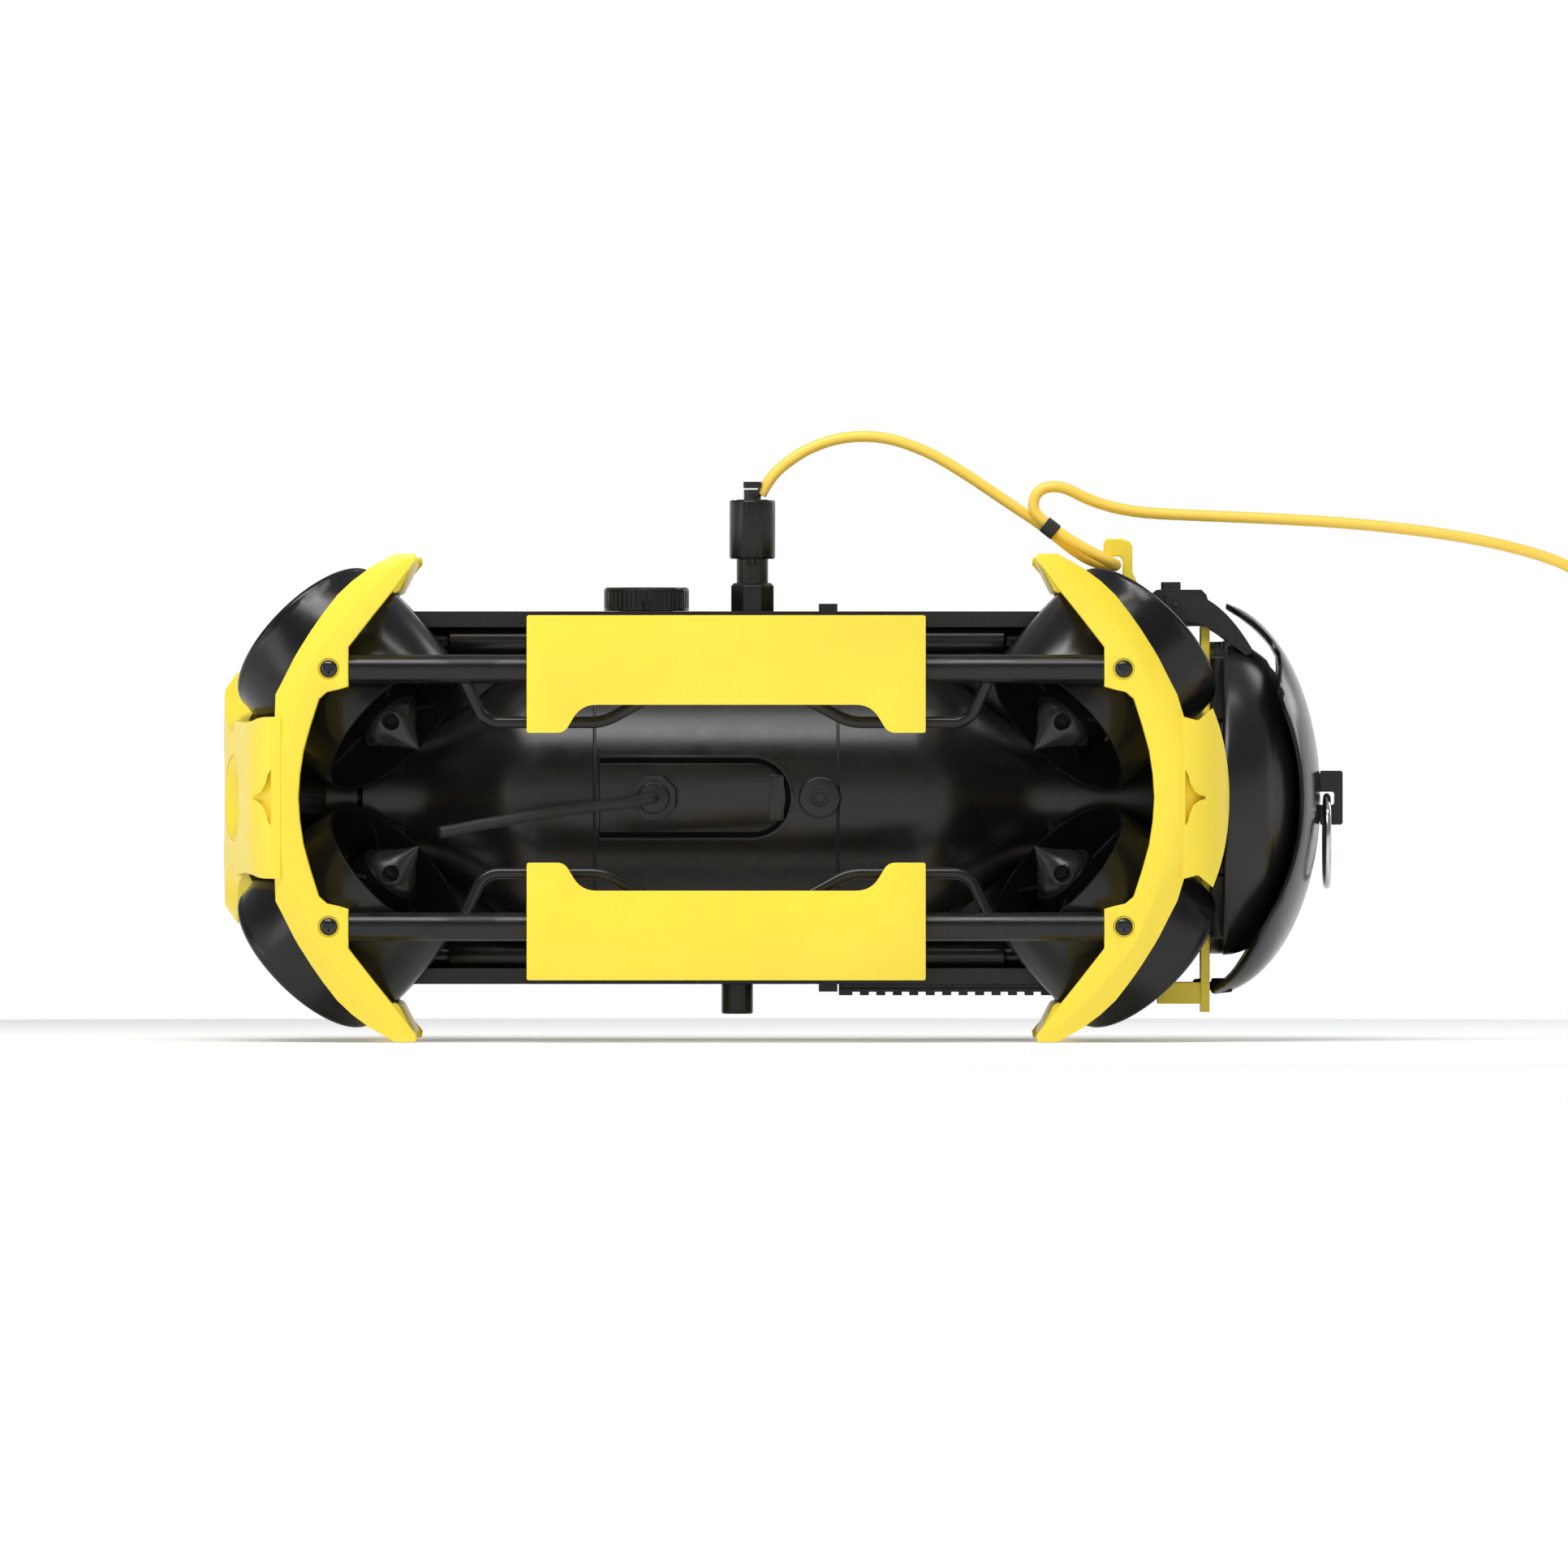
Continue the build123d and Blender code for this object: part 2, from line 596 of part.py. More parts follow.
with BuildPart() as cap:
    with BuildSketch(hull_plane(SPINE_TOP + 0.4)):
        with Locations((CAP_X, 0)):
            Circle(CAP_R)
    extrude(amount=CAP_H)
    chamfer(cap.edges().filter_by(GeomType.CIRCLE).sort_by(Axis.Z)[-1], 1.2)
    with BuildSketch(hull_plane(SPINE_TOP + 2.2)):
        with Locations((CAP_X, 0)):
            with PolarLocations(CAP_R + 0.3, 48):
                Circle(0.9)
    extrude(amount=CAP_H - 4, mode=Mode.SUBTRACT)
    with BuildSketch(hull_plane(HULL_R + 4)):
        with Locations((CAP_X, 0)):
            Circle(16)
    extrude(amount=SPINE_TOP + 0.4 - HULL_R - 4)
save(cap, "charge_cap")

PIN_X = -27.7
with BuildPart() as bottom_plug:
    with BuildSketch(hull_plane(-SPINE_TOP)):
        with Locations((PIN_X, 0)):
            Circle(9.6)
    extrude(amount=-18.3)
    fillet(bottom_plug.edges().filter_by(GeomType.CIRCLE).sort_by(Axis.Z)[0], 1.5)
save(bottom_plug, "bottom_plug")

# ---- side tubes with their guard rods, and the grips ------------------------------
with BuildPart() as tubes:
    for side in (-1, 1):
        for up in (1, -1):
            z = MID_Z + up * TUBE_Z
            ends = [(MID_X - 250, side * TUBE_Y_END, z), (MID_X - 172, side * TUBE_Y_END, z),
                    (MID_X - 138, side * TUBE_Y_MID, z), (MID_X + 138, side * TUBE_Y_MID, z),
                    (MID_X + 172, side * TUBE_Y_END, z), (MID_X + 250, side * TUBE_Y_END, z)]
            with BuildLine():
                FilletPolyline(*ends, radius=60)
            with BuildSketch(Plane(origin=ends[0], z_dir=(1, 0, 0))):
                Circle(TUBE_R)
            sweep()
            for end in (-1, 1):
                rod = [(MID_X + end * 160, side * 130, z - up * 2),
                       (MID_X + end * 146, side * 126.4, MID_Z + up * 45.5),
                       (MID_X + end * 74, side * 126.4, MID_Z + up * 45.5),
                       (MID_X + end * 44, side * 126.4, MID_Z + up * 62)]
                with BuildLine():
                    FilletPolyline(*rod, radius=[14, 30])
                first = Vector(*rod[1]) - Vector(*rod[0])
                with BuildSketch(Plane(origin=rod[0], z_dir=first)):
                    Circle(ROD_R)
                sweep()
save(tubes, "side_tubes")

GRIP_IN, GRIP_OUT = 130.1, HALF_WIDTH
GRIP_MID = (GRIP_X0 + GRIP_X1) / 2
GRIP_HALF = (GRIP_X1 - GRIP_X0) / 2
for side in (-1, 1):
    with BuildPart() as grips:
        for up in (1, -1):
            for way in (-1, 1):
                with BuildSketch(side_plane(side * GRIP_IN)):
                    with BuildLine():
                        corner = [(GRIP_MID, up * GRIP_TOP),
                                  (GRIP_MID + way * GRIP_HALF, up * GRIP_TOP),
                                  (GRIP_MID + way * GRIP_HALF, up * GRIP_FOOT),
                                  (GRIP_MID + way * (GRIP_HALF - 20), up * GRIP_FOOT)]
                        Polyline(*corner)
                        Spline(corner[-1], (GRIP_MID + way * (GRIP_HALF - 29), up * 47.5),
                               (GRIP_MID + way * (GRIP_HALF - 41), up * GRIP_LOW),
                               tangents=((-way * 0.6, up * 0.5), (-way, 0)))
                        Polyline((GRIP_MID + way * (GRIP_HALF - 41), up * GRIP_LOW),
                                 (GRIP_MID, up * GRIP_LOW), (GRIP_MID, up * GRIP_TOP))
                    make_face()
                extrude(amount=-side * (GRIP_OUT - GRIP_IN))
        outer = grips.faces().filter_by(Axis.Y).group_by(Axis.Y)[0 if side < 0 else -1]
        fillet(outer.edges(), 2.5)
        for up in (1, -1):
            with BuildSketch(cross_plane(GRIP_X0 - 5)):
                with Locations((side * TUBE_Y_MID, up * TUBE_Z)):
                    Circle(TUBE_R + 0.02)
            extrude(amount=GRIP_X1 - GRIP_X0 + 10, mode=Mode.SUBTRACT)
    save(grips, "side_grips_port" if side < 0 else "side_grips_starboard")

# ---- screws -----------------------------------------------------------------------
with BuildPart() as screws:
    for end in (-1, 1):
        for side in (-1, 1):
            for up in (1, -1):
                with BuildSketch(side_plane(side * (ARM_OUT - 1.55))):
                    with Locations((MID_X + end * SCREW_U, up * TUBE_Z)):
                        Circle(4.7)
                extrude(amount=-side * 2.2)
                with BuildSketch(side_plane(side * (ARM_OUT + 0.65))):
                    with Locations((MID_X + end * SCREW_U, up * TUBE_Z)):
                        Rectangle(5.6, 1.2)
                        Rectangle(1.2, 5.6)
                extrude(amount=side * 1.4, mode=Mode.SUBTRACT)

# ---- tail: carrier plate, dome, guard, latch --------------------------------------
PLATE_TOP, PLATE_LOW = 104.0, -108.0
PLATE_REACH = 119.6
BOLT_Z = -114.5
with BuildPart() as plate:
    with BuildSketch(cross_plane(PLATE_X)):
        with BuildLine():
            Polyline((-28, PLATE_TOP), (28, PLATE_TOP), (31, 55), (44, 42), (PLATE_REACH, 30),
                     (PLATE_REACH, -30), (44, -42), (31, -55), (28, PLATE_LOW), (26, -130),
                     (-26, -130), (-28, PLATE_LOW), (-31, -55), (-44, -42), (-PLATE_REACH, -30),
                     (-PLATE_REACH, 30), (-44, 42), (-31, 55), (-28, PLATE_TOP))
        make_face()
        Circle(HUB_R + 0.1, mode=Mode.SUBTRACT)
        with Locations((0, BOLT_Z)):
            Circle(3.1, mode=Mode.SUBTRACT)
    extrude(amount=PLATE_T)
    with BuildSketch(cross_plane(PLATE_X)):
        with Locations((0, -122.5)):
            Rectangle(52, 5)
    extrude(amount=-26)
    with BuildSketch(cross_plane(PLATE_X)):
        for side in (-1, 1):
            with Locations((side * 23, -118.5)):
                Rectangle(6, 13)
    extrude(amount=-26)
save(plate, "tail_plate")

DOME_SEAT_X = SHELL_X + 8.0
DOME_A, DOME_T = 56.0, 4.0


def ellipse_points(a, b, from_x, count=6):
    """Points of an ellipse about the plate's face, from a station down to the hull axis."""
    first = acos((from_x - SHELL_X) / a)
    angles = [first * (count - i) / count for i in range(count + 1)]
    return [(SHELL_X + a * cos(angle), b * sin(angle)) for angle in angles]


with BuildPart() as dome:
    outer = ellipse_points(DOME_A, DOME_R, DOME_SEAT_X)
    inner = ellipse_points(DOME_A - DOME_T, DOME_R - DOME_T, DOME_SEAT_X + 3)
    with BuildSketch(side_plane(0)):
        with BuildLine():
            Spline(*outer, tangents=((8, -1), (0, -1)))
            Line(outer[-1], inner[-1])
            Spline(*reversed(inner), tangents=((0, 1), (-10, 1)))
            Polyline(inner[0], (DOME_SEAT_X + 3, DOME_SEAT_R - 4), (SHELL_X, DOME_SEAT_R - 4),
                     (SHELL_X, DOME_SEAT_R), (DOME_SEAT_X, DOME_SEAT_R), outer[0])
        make_face()
    revolve(axis=Axis((0, 0, MID_Z), (1, 0, 0)))
    with BuildSketch(cross_plane(SHELL_X)):
        with Locations((0, 0)):
            Circle(DOME_R - 0.6)
            Circle(DOME_SEAT_R - 1, mode=Mode.SUBTRACT)
            Rectangle(2 * COLLAR_W, 220, mode=Mode.INTERSECT)
    extrude(amount=DOME_SEAT_X + 0.6 - SHELL_X)
save(dome, "tail_dome")

APEX_X = SHELL_X + SHELL_A
# Edge of the guard's band, as (y, z) from the axis. It narrows to a tip at the top.
GUARD_EDGE = [(8, 121), (24, 112), (26, 100), (26, 86), (44, 82.5), (66, 77), (70, 48), (66, 21),
              (66, -18), (68, -34), (70, -70), (60, -94), (40, -110), (26, -113), (26, -121)]
with BuildPart() as guard:
    with BuildSketch(side_plane(0)):
        with BuildLine():
            EllipticalCenterArc((SHELL_X, 0), SHELL_A, SHELL_B, start_angle=0, arc_size=90)
            Line((SHELL_X, SHELL_B), (SHELL_X, SHELL_B - SHELL_T))
            EllipticalCenterArc((SHELL_X, 0), SHELL_A - SHELL_T, SHELL_B - SHELL_T,
                                start_angle=0, arc_size=90)
            Line((APEX_X - SHELL_T, 0), (APEX_X, 0))
        make_face()
    revolve(axis=Axis((0, 0, MID_Z), (1, 0, 0)))
    with BuildSketch(cross_plane(SHELL_X + 1)):
        with BuildLine():
            Polyline(*GUARD_EDGE, *[(-y, z) for y, z in reversed(GUARD_EDGE)], GUARD_EDGE[0])
        make_face()
    extrude(amount=80, mode=Mode.INTERSECT)
    with BuildSketch(side_plane(-80)):
        with Locations((SHELL_X + 3.5, 110)):
            Rectangle(14, 40)
        with Locations((SHELL_X, 0)):
            Rectangle(2, 300)
    extrude(amount=-160, mode=Mode.SUBTRACT)
    with BuildSketch(cross_plane(SHELL_X + 0.01)):
        with Locations((0, BOLT_Z)):
            Rectangle(22, 11)
    extrude(amount=12)
    with BuildSketch(cross_plane(SHELL_X)):
        with Locations((0, BOLT_Z)):
            Circle(3.1)
    extrude(amount=14, mode=Mode.SUBTRACT)
save(guard, "tail_guard")

BOSS_X, BOSS_W = TAIL_X - 13.3, 16.0
RING_X, RING_Z, RING_WIRE, RING_MAJOR = 330.4, 0.45, 2.35, 26.75
with BuildPart() as boss:
    with BuildSketch(side_plane(BOSS_W / 2)):
        with BuildLine():
            Polyline((APEX_X - 1.2, 11), (BOSS_X, 16.4), (TAIL_X - 1, 16.4), (TAIL_X, 15.4),
                     (TAIL_X, -15.4), (TAIL_X - 1, -16.4), (BOSS_X, -16.4),
                     (APEX_X - 1.2, -11), (APEX_X - 1.2, 11))
        make_face()
        with Locations((330.2, -0.4)):
            RectangleRounded(9.4, 7.9, 1.5, mode=Mode.SUBTRACT)
    extrude(amount=BOSS_W)
    with BuildSketch(side_plane(0)):
        with BuildLine():
            EllipticalCenterArc((SHELL_X, 0), SHELL_A, SHELL_B, start_angle=0, arc_size=90)
            Polyline((SHELL_X, SHELL_B), (SHELL_X, 0), (APEX_X, 0))
        make_face()
    revolve(axis=Axis((0, 0, MID_Z), (1, 0, 0)), mode=Mode.SUBTRACT)
save(boss, "tow_boss")

with BuildPart() as ring:
    with BuildSketch(Plane(origin=(RING_X, 0, MID_Z + RING_Z - RING_MAJOR), x_dir=(0, 0, 1),
                           z_dir=(0, -1, 0))):
        with Locations((RING_MAJOR, 0)):
            Circle(RING_WIRE)
    revolve(axis=Axis((RING_X, 0, MID_Z + RING_Z - RING_MAJOR), (1, 0, 0)))
save(ring, "tow_ring")

PIN_X2, PIN_Z2, PIN_R = 238.0, 117.2, 1.9
CHEEK_IN, CHEEK_OUT = 30.0, 35.0
with BuildPart() as bracket:
    with BuildSketch(side_plane(27)):
        with BuildLine():
            Polyline((224, 106), (224, 124), (227, 126.2), (254, 126.2), (257, 123),
                     (SHELL_X, 116), (SHELL_X, 104.2), (230, 104.2), (224, 106))
        make_face()
        with Locations((PIN_X2, PIN_Z2)):
            Circle(PIN_R, mode=Mode.SUBTRACT)
    extrude(amount=54)
    with BuildSketch(hull_plane(122)):
        with Locations((235.7, 0)):
            RectangleRounded(12.6, 14.6, 2)
    extrude(amount=5, mode=Mode.SUBTRACT)
save(bracket, "latch_bracket")

with BuildPart() as button:
    with BuildSketch(hull_plane(124.4)):
        with Locations((235.7, 0)):
            RectangleRounded(12.0, 14.0, 2)
    extrude(amount=6.6)
    fillet(button.faces().sort_by(Axis.Z)[-1].edges(), 0.8)
save(button, "latch_button")

with BuildPart() as latch_pin:
    with BuildSketch(side_plane(CHEEK_OUT + 0.5)):
        with Locations((PIN_X2, PIN_Z2)):
            Circle(PIN_R)
    extrude(amount=2 * CHEEK_OUT + 1)

with BuildPart() as latch:
    for side in (-1, 1):
        with BuildSketch(side_plane(side * CHEEK_IN)):
            with BuildLine():
                Spline((232, 123.5), (254.2, 121.8), (271.7, 108.2), (285.5, 88.5))
                Line((285.5, 88.5), (281, 86))
                Spline((281, 86), (269, 95.6), (258.6, 102.6), (247, 106.2), (232, 108.5))
                Line((232, 108.5), (232, 123.5))
            make_face()
            with Locations((PIN_X2, PIN_Z2)):
                Circle(PIN_R + 0.05, mode=Mode.SUBTRACT)
        extrude(amount=-side * (CHEEK_OUT - CHEEK_IN))
    with BuildSketch(side_plane(CHEEK_IN + 1)):
        with Locations((264.4, 110.4)):
            RectangleRounded(3.6, 7.0, 1)
    extrude(amount=2 * CHEEK_IN + 2)
save(latch, "latch_arm")

with BuildPart() as bolt:
    with BuildSketch(cross_plane(PLATE_X - 4.2)):
        with Locations((0, BOLT_Z)):
            RegularPolygon(5.0, 6)
    extrude(amount=4.2)
    with BuildSketch(cross_plane(PLATE_X)):
        with Locations((0, BOLT_Z)):
            Circle(3.0)
    extrude(amount=16)
with BuildPart() as fasteners:
    add([screws.part, latch_pin.part, bolt.part])
save(fasteners, "fasteners")

with BuildPart() as hook:
    with BuildSketch(side_plane(2.2)):
        with BuildLine():
            Polyline((194.8, 136), (194.8, 157.5), (207, 157.5), (212.2, 152), (212.2, 138),
                     (216, 134), (223.9, 124), (223.9, 107), (214, 120), (206.4, 132),
                     (206.4, 150.4), (197.9, 150.4), (197.9, 136), (194.8, 136))
        make_face()
    extrude(amount=4.4)
save(hook, "tether_hook")

# ---- tether connector and cord ----------------------------------------------------
NUT_TOP, NECK_TOP, SLEEVE_TOP = 130.4, 145.0, 180.7
with BuildPart() as socket:
    with BuildSketch(hull_plane(SPINE_TOP)):
        with Locations((TETHER_X, 0)):
            RegularPolygon(14.0, 8, rotation=22.5)
    extrude(amount=NUT_TOP - SPINE_TOP)
    chamfer(socket.faces().sort_by(Axis.Z)[-1].edges(), 1.8)
    with BuildSketch(hull_plane(HULL_R + 1.5)):
        with Locations((TETHER_X, 0)):
            Circle(9.0)
    extrude(amount=SPINE_TOP - HULL_R - 1.5)
save(socket, "tether_socket")

with BuildPart() as plug:
    with BuildSketch(hull_plane(NUT_TOP)):
        with Locations((TETHER_X, 0)):
            Circle(9.6)
    extrude(amount=SLEEVE_TOP + 0.4 - NUT_TOP)
    with BuildSketch(side_plane(-9.0)):
        with Locations((TETHER_X, 138)):
            RectangleRounded(8.8, 7.0, 1.0)
    extrude(amount=3, mode=Mode.SUBTRACT)
    with BuildSketch(hull_plane(SLEEVE_TOP + 0.4)):
        with Locations((TETHER_X, 0)):
            Circle(5.3)
    extrude(amount=6)
    with BuildSketch(hull_plane(188)):
        with Locations((TETHER_X, 0)):
            RectangleRounded(11.0, 11.0, 2)
    extrude(amount=3.9)
save(plug, "tether_plug")

with BuildPart() as sleeve:
    with BuildSketch(hull_plane(NECK_TOP)):
        with Locations((TETHER_X, 0)):
            Circle(13.9)
            Circle(9.66, mode=Mode.SUBTRACT)
    extrude(amount=SLEEVE_TOP - NECK_TOP)
    chamfer(sleeve.edges().filter_by(GeomType.CIRCLE).filter_by(
        lambda e: e.radius > 13), 0.8)
save(sleeve, "tether_sleeve")

TETHER_ROUTE = [(-13.3, 0, 331.0), (-8.6, 0.6, 340.5), (2.5, 1.2, 351.0), (18.0, 1.8, 360.6),
                (38.0, 2.3, 366.6), (62.0, 2.7, 366.5), (88.0, 3.0, 357.6), (112.0, 3.3, 343.2),
                (136.0, 3.6, 326.8), (158.0, 3.8, 312.5), (177.0, 5.4, 296.6), (190.0, 7.0, 289.6),
                (202.2, 7.0, 287.6), (202.2, -7.0, 288.8), (188.0, -7.0, 295.6),
                (172.5, -5.4, 304.6), (160.0, -3.8, 313.4), (151.0, -3.9, 322.0),
                (154.5, -4.0, 334.5), (169.0, -3.5, 337.0), (187.0, -2.0, 327.0),
                (212.0, -0.5, 320.4), (246.0, 1.0, 318.6), (290.0, 1.5, 316.9),
                (340.0, 1.0, 314.2), (392.0, 0.0, 308.9), (440.0, -1.0, 300.6),
                (484.0, -1.6, 286.6), (517.0, -1.8, 258.0), (533.0, -1.4, 214.0),
                (539.5, -0.8, 160.0), (540.6, 0.0, 104.0), (541.0, 0.0, 76.0),
                (541.4, -7.0, 57.5), (543.4, -19.0, 48.6), (548.2, -32.2, 45.5)]


def smooth_radii(route):
    """Largest tangent arc that 0.45 of the shorter run allows at each inner point."""
    radii = []
    for before, point, after in zip(route, route[1:], route[2:]):
        way_in = Vector(*point) - Vector(*before)
        way_out = Vector(*after) - Vector(*point)
        turn = radians(way_in.get_angle(way_out))
        radii.append(0.45 * min(way_in.length, way_out.length) / tan(turn / 2))
    return radii


def cord_tube(route, radius):
    """Round tube along straight runs joined by tangent arcs."""
    radii = smooth_radii(route)
    first = Vector(*route[1]) - Vector(*route[0])
    with BuildPart() as tube:
        with BuildLine() as path:
            FilletPolyline(*route, radius=radii)
        with BuildSketch(Plane(origin=route[0], z_dir=first)):
            Circle(radius)
        sweep()
    ideal = pi * radius ** 2 * path.wires()[0].length
    print("cord radii", [round(r, 1) for r in radii])
    print("cord length", round(path.wires()[0].length, 1), "volume ratio",
          round(tube.part.volume / ideal, 4))
    return tube.part


COIL_X, COIL_MEAN, COIL_HALF, COIL_H = 604.0, 63.0, 23.0, 42.0
TAIL_ROUTE = [(COIL_X, COIL_MEAN + COIL_HALF + 3.6, 3.6), (578, 91.6, 4.0), (553, 96.5, 7.4)]
with BuildPart() as tether:
    add(cord_tube(TETHER_ROUTE, TETHER_D / 2))
    add(cord_tube(TAIL_ROUTE, TETHER_D / 2))
save(tether, "tether_tube")

with BuildPart() as coil:
    with BuildSketch(Plane.XY):
        with Locations((COIL_X, 0)):
            Circle(COIL_MEAN + COIL_HALF)
            Circle(COIL_MEAN - COIL_HALF, mode=Mode.SUBTRACT)
    extrude(amount=COIL_H)
    fillet(coil.edges(), 8)
save(coil, "tether_coil")

TIE_AT, TIE_SLOPE = Vector(162.4, 0, 310.6), 38.0
with BuildPart() as tie:
    along = Vector(cos(radians(TIE_SLOPE)), 0, -sin(radians(TIE_SLOPE)))
    with BuildSketch(Plane(origin=TIE_AT - along * 4.4, x_dir=(0, 1, 0), z_dir=along)):
        RectangleRounded(18.4, 10.4, 4.5)
        RectangleRounded(15.6, 8.0, 3.6, mode=Mode.SUBTRACT)
    extrude(amount=8.8)
save(tie, "tether_tie")

END_AXIS = (Vector(*TAIL_ROUTE[-1]) - Vector(*TAIL_ROUTE[-2])).normalized()
END_LEVEL = Vector(END_AXIS.X, END_AXIS.Y, 0).normalized()
with BuildPart() as end_plug:
    with BuildSketch(Plane(origin=Vector(*TAIL_ROUTE[-1]) + END_LEVEL * 0.6, z_dir=END_LEVEL)):
        Circle(5.4)
    extrude(amount=12)
    with BuildSketch(Plane(origin=Vector(*TAIL_ROUTE[-1]) + END_LEVEL * 12.6, z_dir=END_LEVEL)):
        Circle(7.3)
    extrude(amount=26)
save(end_plug, "tether_end_plug")
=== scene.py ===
import json
import math

import bmesh
import bpy
from mathutils import Matrix, Vector

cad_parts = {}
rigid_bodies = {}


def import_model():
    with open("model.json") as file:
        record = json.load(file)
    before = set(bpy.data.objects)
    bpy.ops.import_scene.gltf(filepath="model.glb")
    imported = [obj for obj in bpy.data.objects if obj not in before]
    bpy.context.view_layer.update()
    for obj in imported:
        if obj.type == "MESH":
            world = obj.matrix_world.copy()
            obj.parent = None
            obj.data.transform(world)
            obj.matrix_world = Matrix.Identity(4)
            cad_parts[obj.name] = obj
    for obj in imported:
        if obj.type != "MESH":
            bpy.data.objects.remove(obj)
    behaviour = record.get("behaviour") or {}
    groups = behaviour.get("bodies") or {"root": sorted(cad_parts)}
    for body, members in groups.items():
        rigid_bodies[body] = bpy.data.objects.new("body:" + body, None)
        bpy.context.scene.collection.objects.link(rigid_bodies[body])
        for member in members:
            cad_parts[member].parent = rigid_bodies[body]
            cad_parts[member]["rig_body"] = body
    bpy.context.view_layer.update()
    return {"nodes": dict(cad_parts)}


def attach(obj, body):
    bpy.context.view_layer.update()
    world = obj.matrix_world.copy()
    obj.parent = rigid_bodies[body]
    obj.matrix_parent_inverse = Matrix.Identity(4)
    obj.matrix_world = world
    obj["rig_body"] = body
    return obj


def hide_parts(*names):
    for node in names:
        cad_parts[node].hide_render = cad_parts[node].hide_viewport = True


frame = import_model()
NODES = frame["nodes"]
MM = 0.001
MID_X, MID_Z = -34.0, 147.0

# ---------------------------------------------------------------- camera and light
LENS, SENSOR, VIEW_WIDTH = 600.0, 36.0, 0.9527
AIM = Vector((0.0007, 0.0, 0.1553))
scene = bpy.context.scene
scene.view_settings.view_transform = "Standard"
camera_data = bpy.data.cameras.new("camera")
camera_data.lens, camera_data.sensor_width = LENS, SENSOR
camera_data.clip_start, camera_data.clip_end = 0.1, 100.0
camera = bpy.data.objects.new("camera", camera_data)
camera.location = AIM + Vector((0, -VIEW_WIDTH * LENS / SENSOR, 0))
camera.rotation_euler = (math.radians(90), 0, 0)
scene.collection.objects.link(camera)
scene.camera = camera


def area_light(name, place, target, size, power):
    data = bpy.data.lights.new(name, "AREA")
    data.shape, data.size, data.size_y = "RECTANGLE", size[0], size[1]
    data.energy = power
    light = bpy.data.objects.new(name, data)
    light.location = place
    way = Vector(target) - Vector(place)
    light.rotation_euler = way.to_track_quat("-Z", "Y").to_euler()
    scene.collection.objects.link(light)


CENTRE = (0, 0, 0.15)
area_light("key", (-0.5, -1.0, 2.0), CENTRE, (1.8, 0.7), 30)
area_light("strip_left", (-1.9, -0.9, 0.5), CENTRE, (0.5, 1.2), 3)
area_light("strip_top", (0.1, -0.42, 1.5), CENTRE, (1.6, 0.05), 5)
area_light("back", (1.5, 1.3, 1.2), CENTRE, (0.8, 1.4), 10)

world = bpy.data.worlds.new("studio")
scene.world = world
world.use_nodes = True
wn, wl = world.node_tree.nodes, world.node_tree.links
wn.clear()
w_out = wn.new("ShaderNodeOutputWorld")
w_back = wn.new("ShaderNodeBackground")
w_coord = wn.new("ShaderNodeTexCoord")
w_split = wn.new("ShaderNodeSeparateXYZ")
w_ramp = wn.new("ShaderNodeValToRGB")
w_map = wn.new("ShaderNodeMapRange")
w_map.inputs["From Min"].default_value = -1.0
w_map.inputs["From Max"].default_value = 1.0
wl.new(w_coord.outputs["Generated"], w_split.inputs[0])
wl.new(w_split.outputs["Z"], w_map.inputs["Value"])
wl.new(w_map.outputs[0], w_ramp.inputs[0])
stops = w_ramp.color_ramp.elements
stops[0].position, stops[0].color = 0.0, (1, 1, 1, 1)
stops[1].position, stops[1].color = 1.0, (0.32, 0.33, 0.35, 1)
for place, level in ((0.40, 1.0), (0.56, 1.0), (0.64, 0.22)):
    stop = stops.new(place)
    stop.color = (level, level, level, 1)
w_back.inputs["Strength"].default_value = 1.0
wl.new(w_ramp.outputs[0], w_back.inputs["Color"])
wl.new(w_back.outputs[0], w_out.inputs[0])


# ---------------------------------------------------------------- materials
MIX_FACTOR, MIX_A, MIX_B, MIX_COLOUR = 0, 6, 7, 2  # sockets of a colour mix node
PLASTIC_IOR, ACRYLIC_IOR = 1.5, 1.49


def node_of(tree, kind, **settings):
    n = tree.nodes.new(kind)
    for key, value in settings.items():
        setattr(n, key, value)
    return n


def mixed(tree, factor, a, b):
    """Colour mix. factor is a socket; each of a and b is a socket or a colour."""
    n = node_of(tree, "ShaderNodeMix", data_type="RGBA")
    tree.links.new(factor, n.inputs[MIX_FACTOR])
    for place, value in ((MIX_A, a), (MIX_B, b)):
        if isinstance(value, bpy.types.NodeSocket):
            tree.links.new(value, n.inputs[place])
        else:
            n.inputs[place].default_value = (*value, 1)
    return n.outputs[MIX_COLOUR]


def ranged(tree, source, from_low, from_high, to_low, to_high):
    n = node_of(tree, "ShaderNodeMapRange")
    for key, value in zip(("From Min", "From Max", "To Min", "To Max"),
                          (from_low, from_high, to_low, to_high)):
        n.inputs[key].default_value = value
    tree.links.new(source, n.inputs["Value"])
    return n.outputs[0]


def noise(tree, coord, scale, detail=4.0, rough=0.55, distortion=0.0):
    n = node_of(tree, "ShaderNodeTexNoise")
    n.inputs["Scale"].default_value = scale
    n.inputs["Detail"].default_value = detail
    n.inputs["Roughness"].default_value = rough
    n.inputs["Distortion"].default_value = distortion
    tree.links.new(coord, n.inputs["Vector"])
    return n.outputs[0]


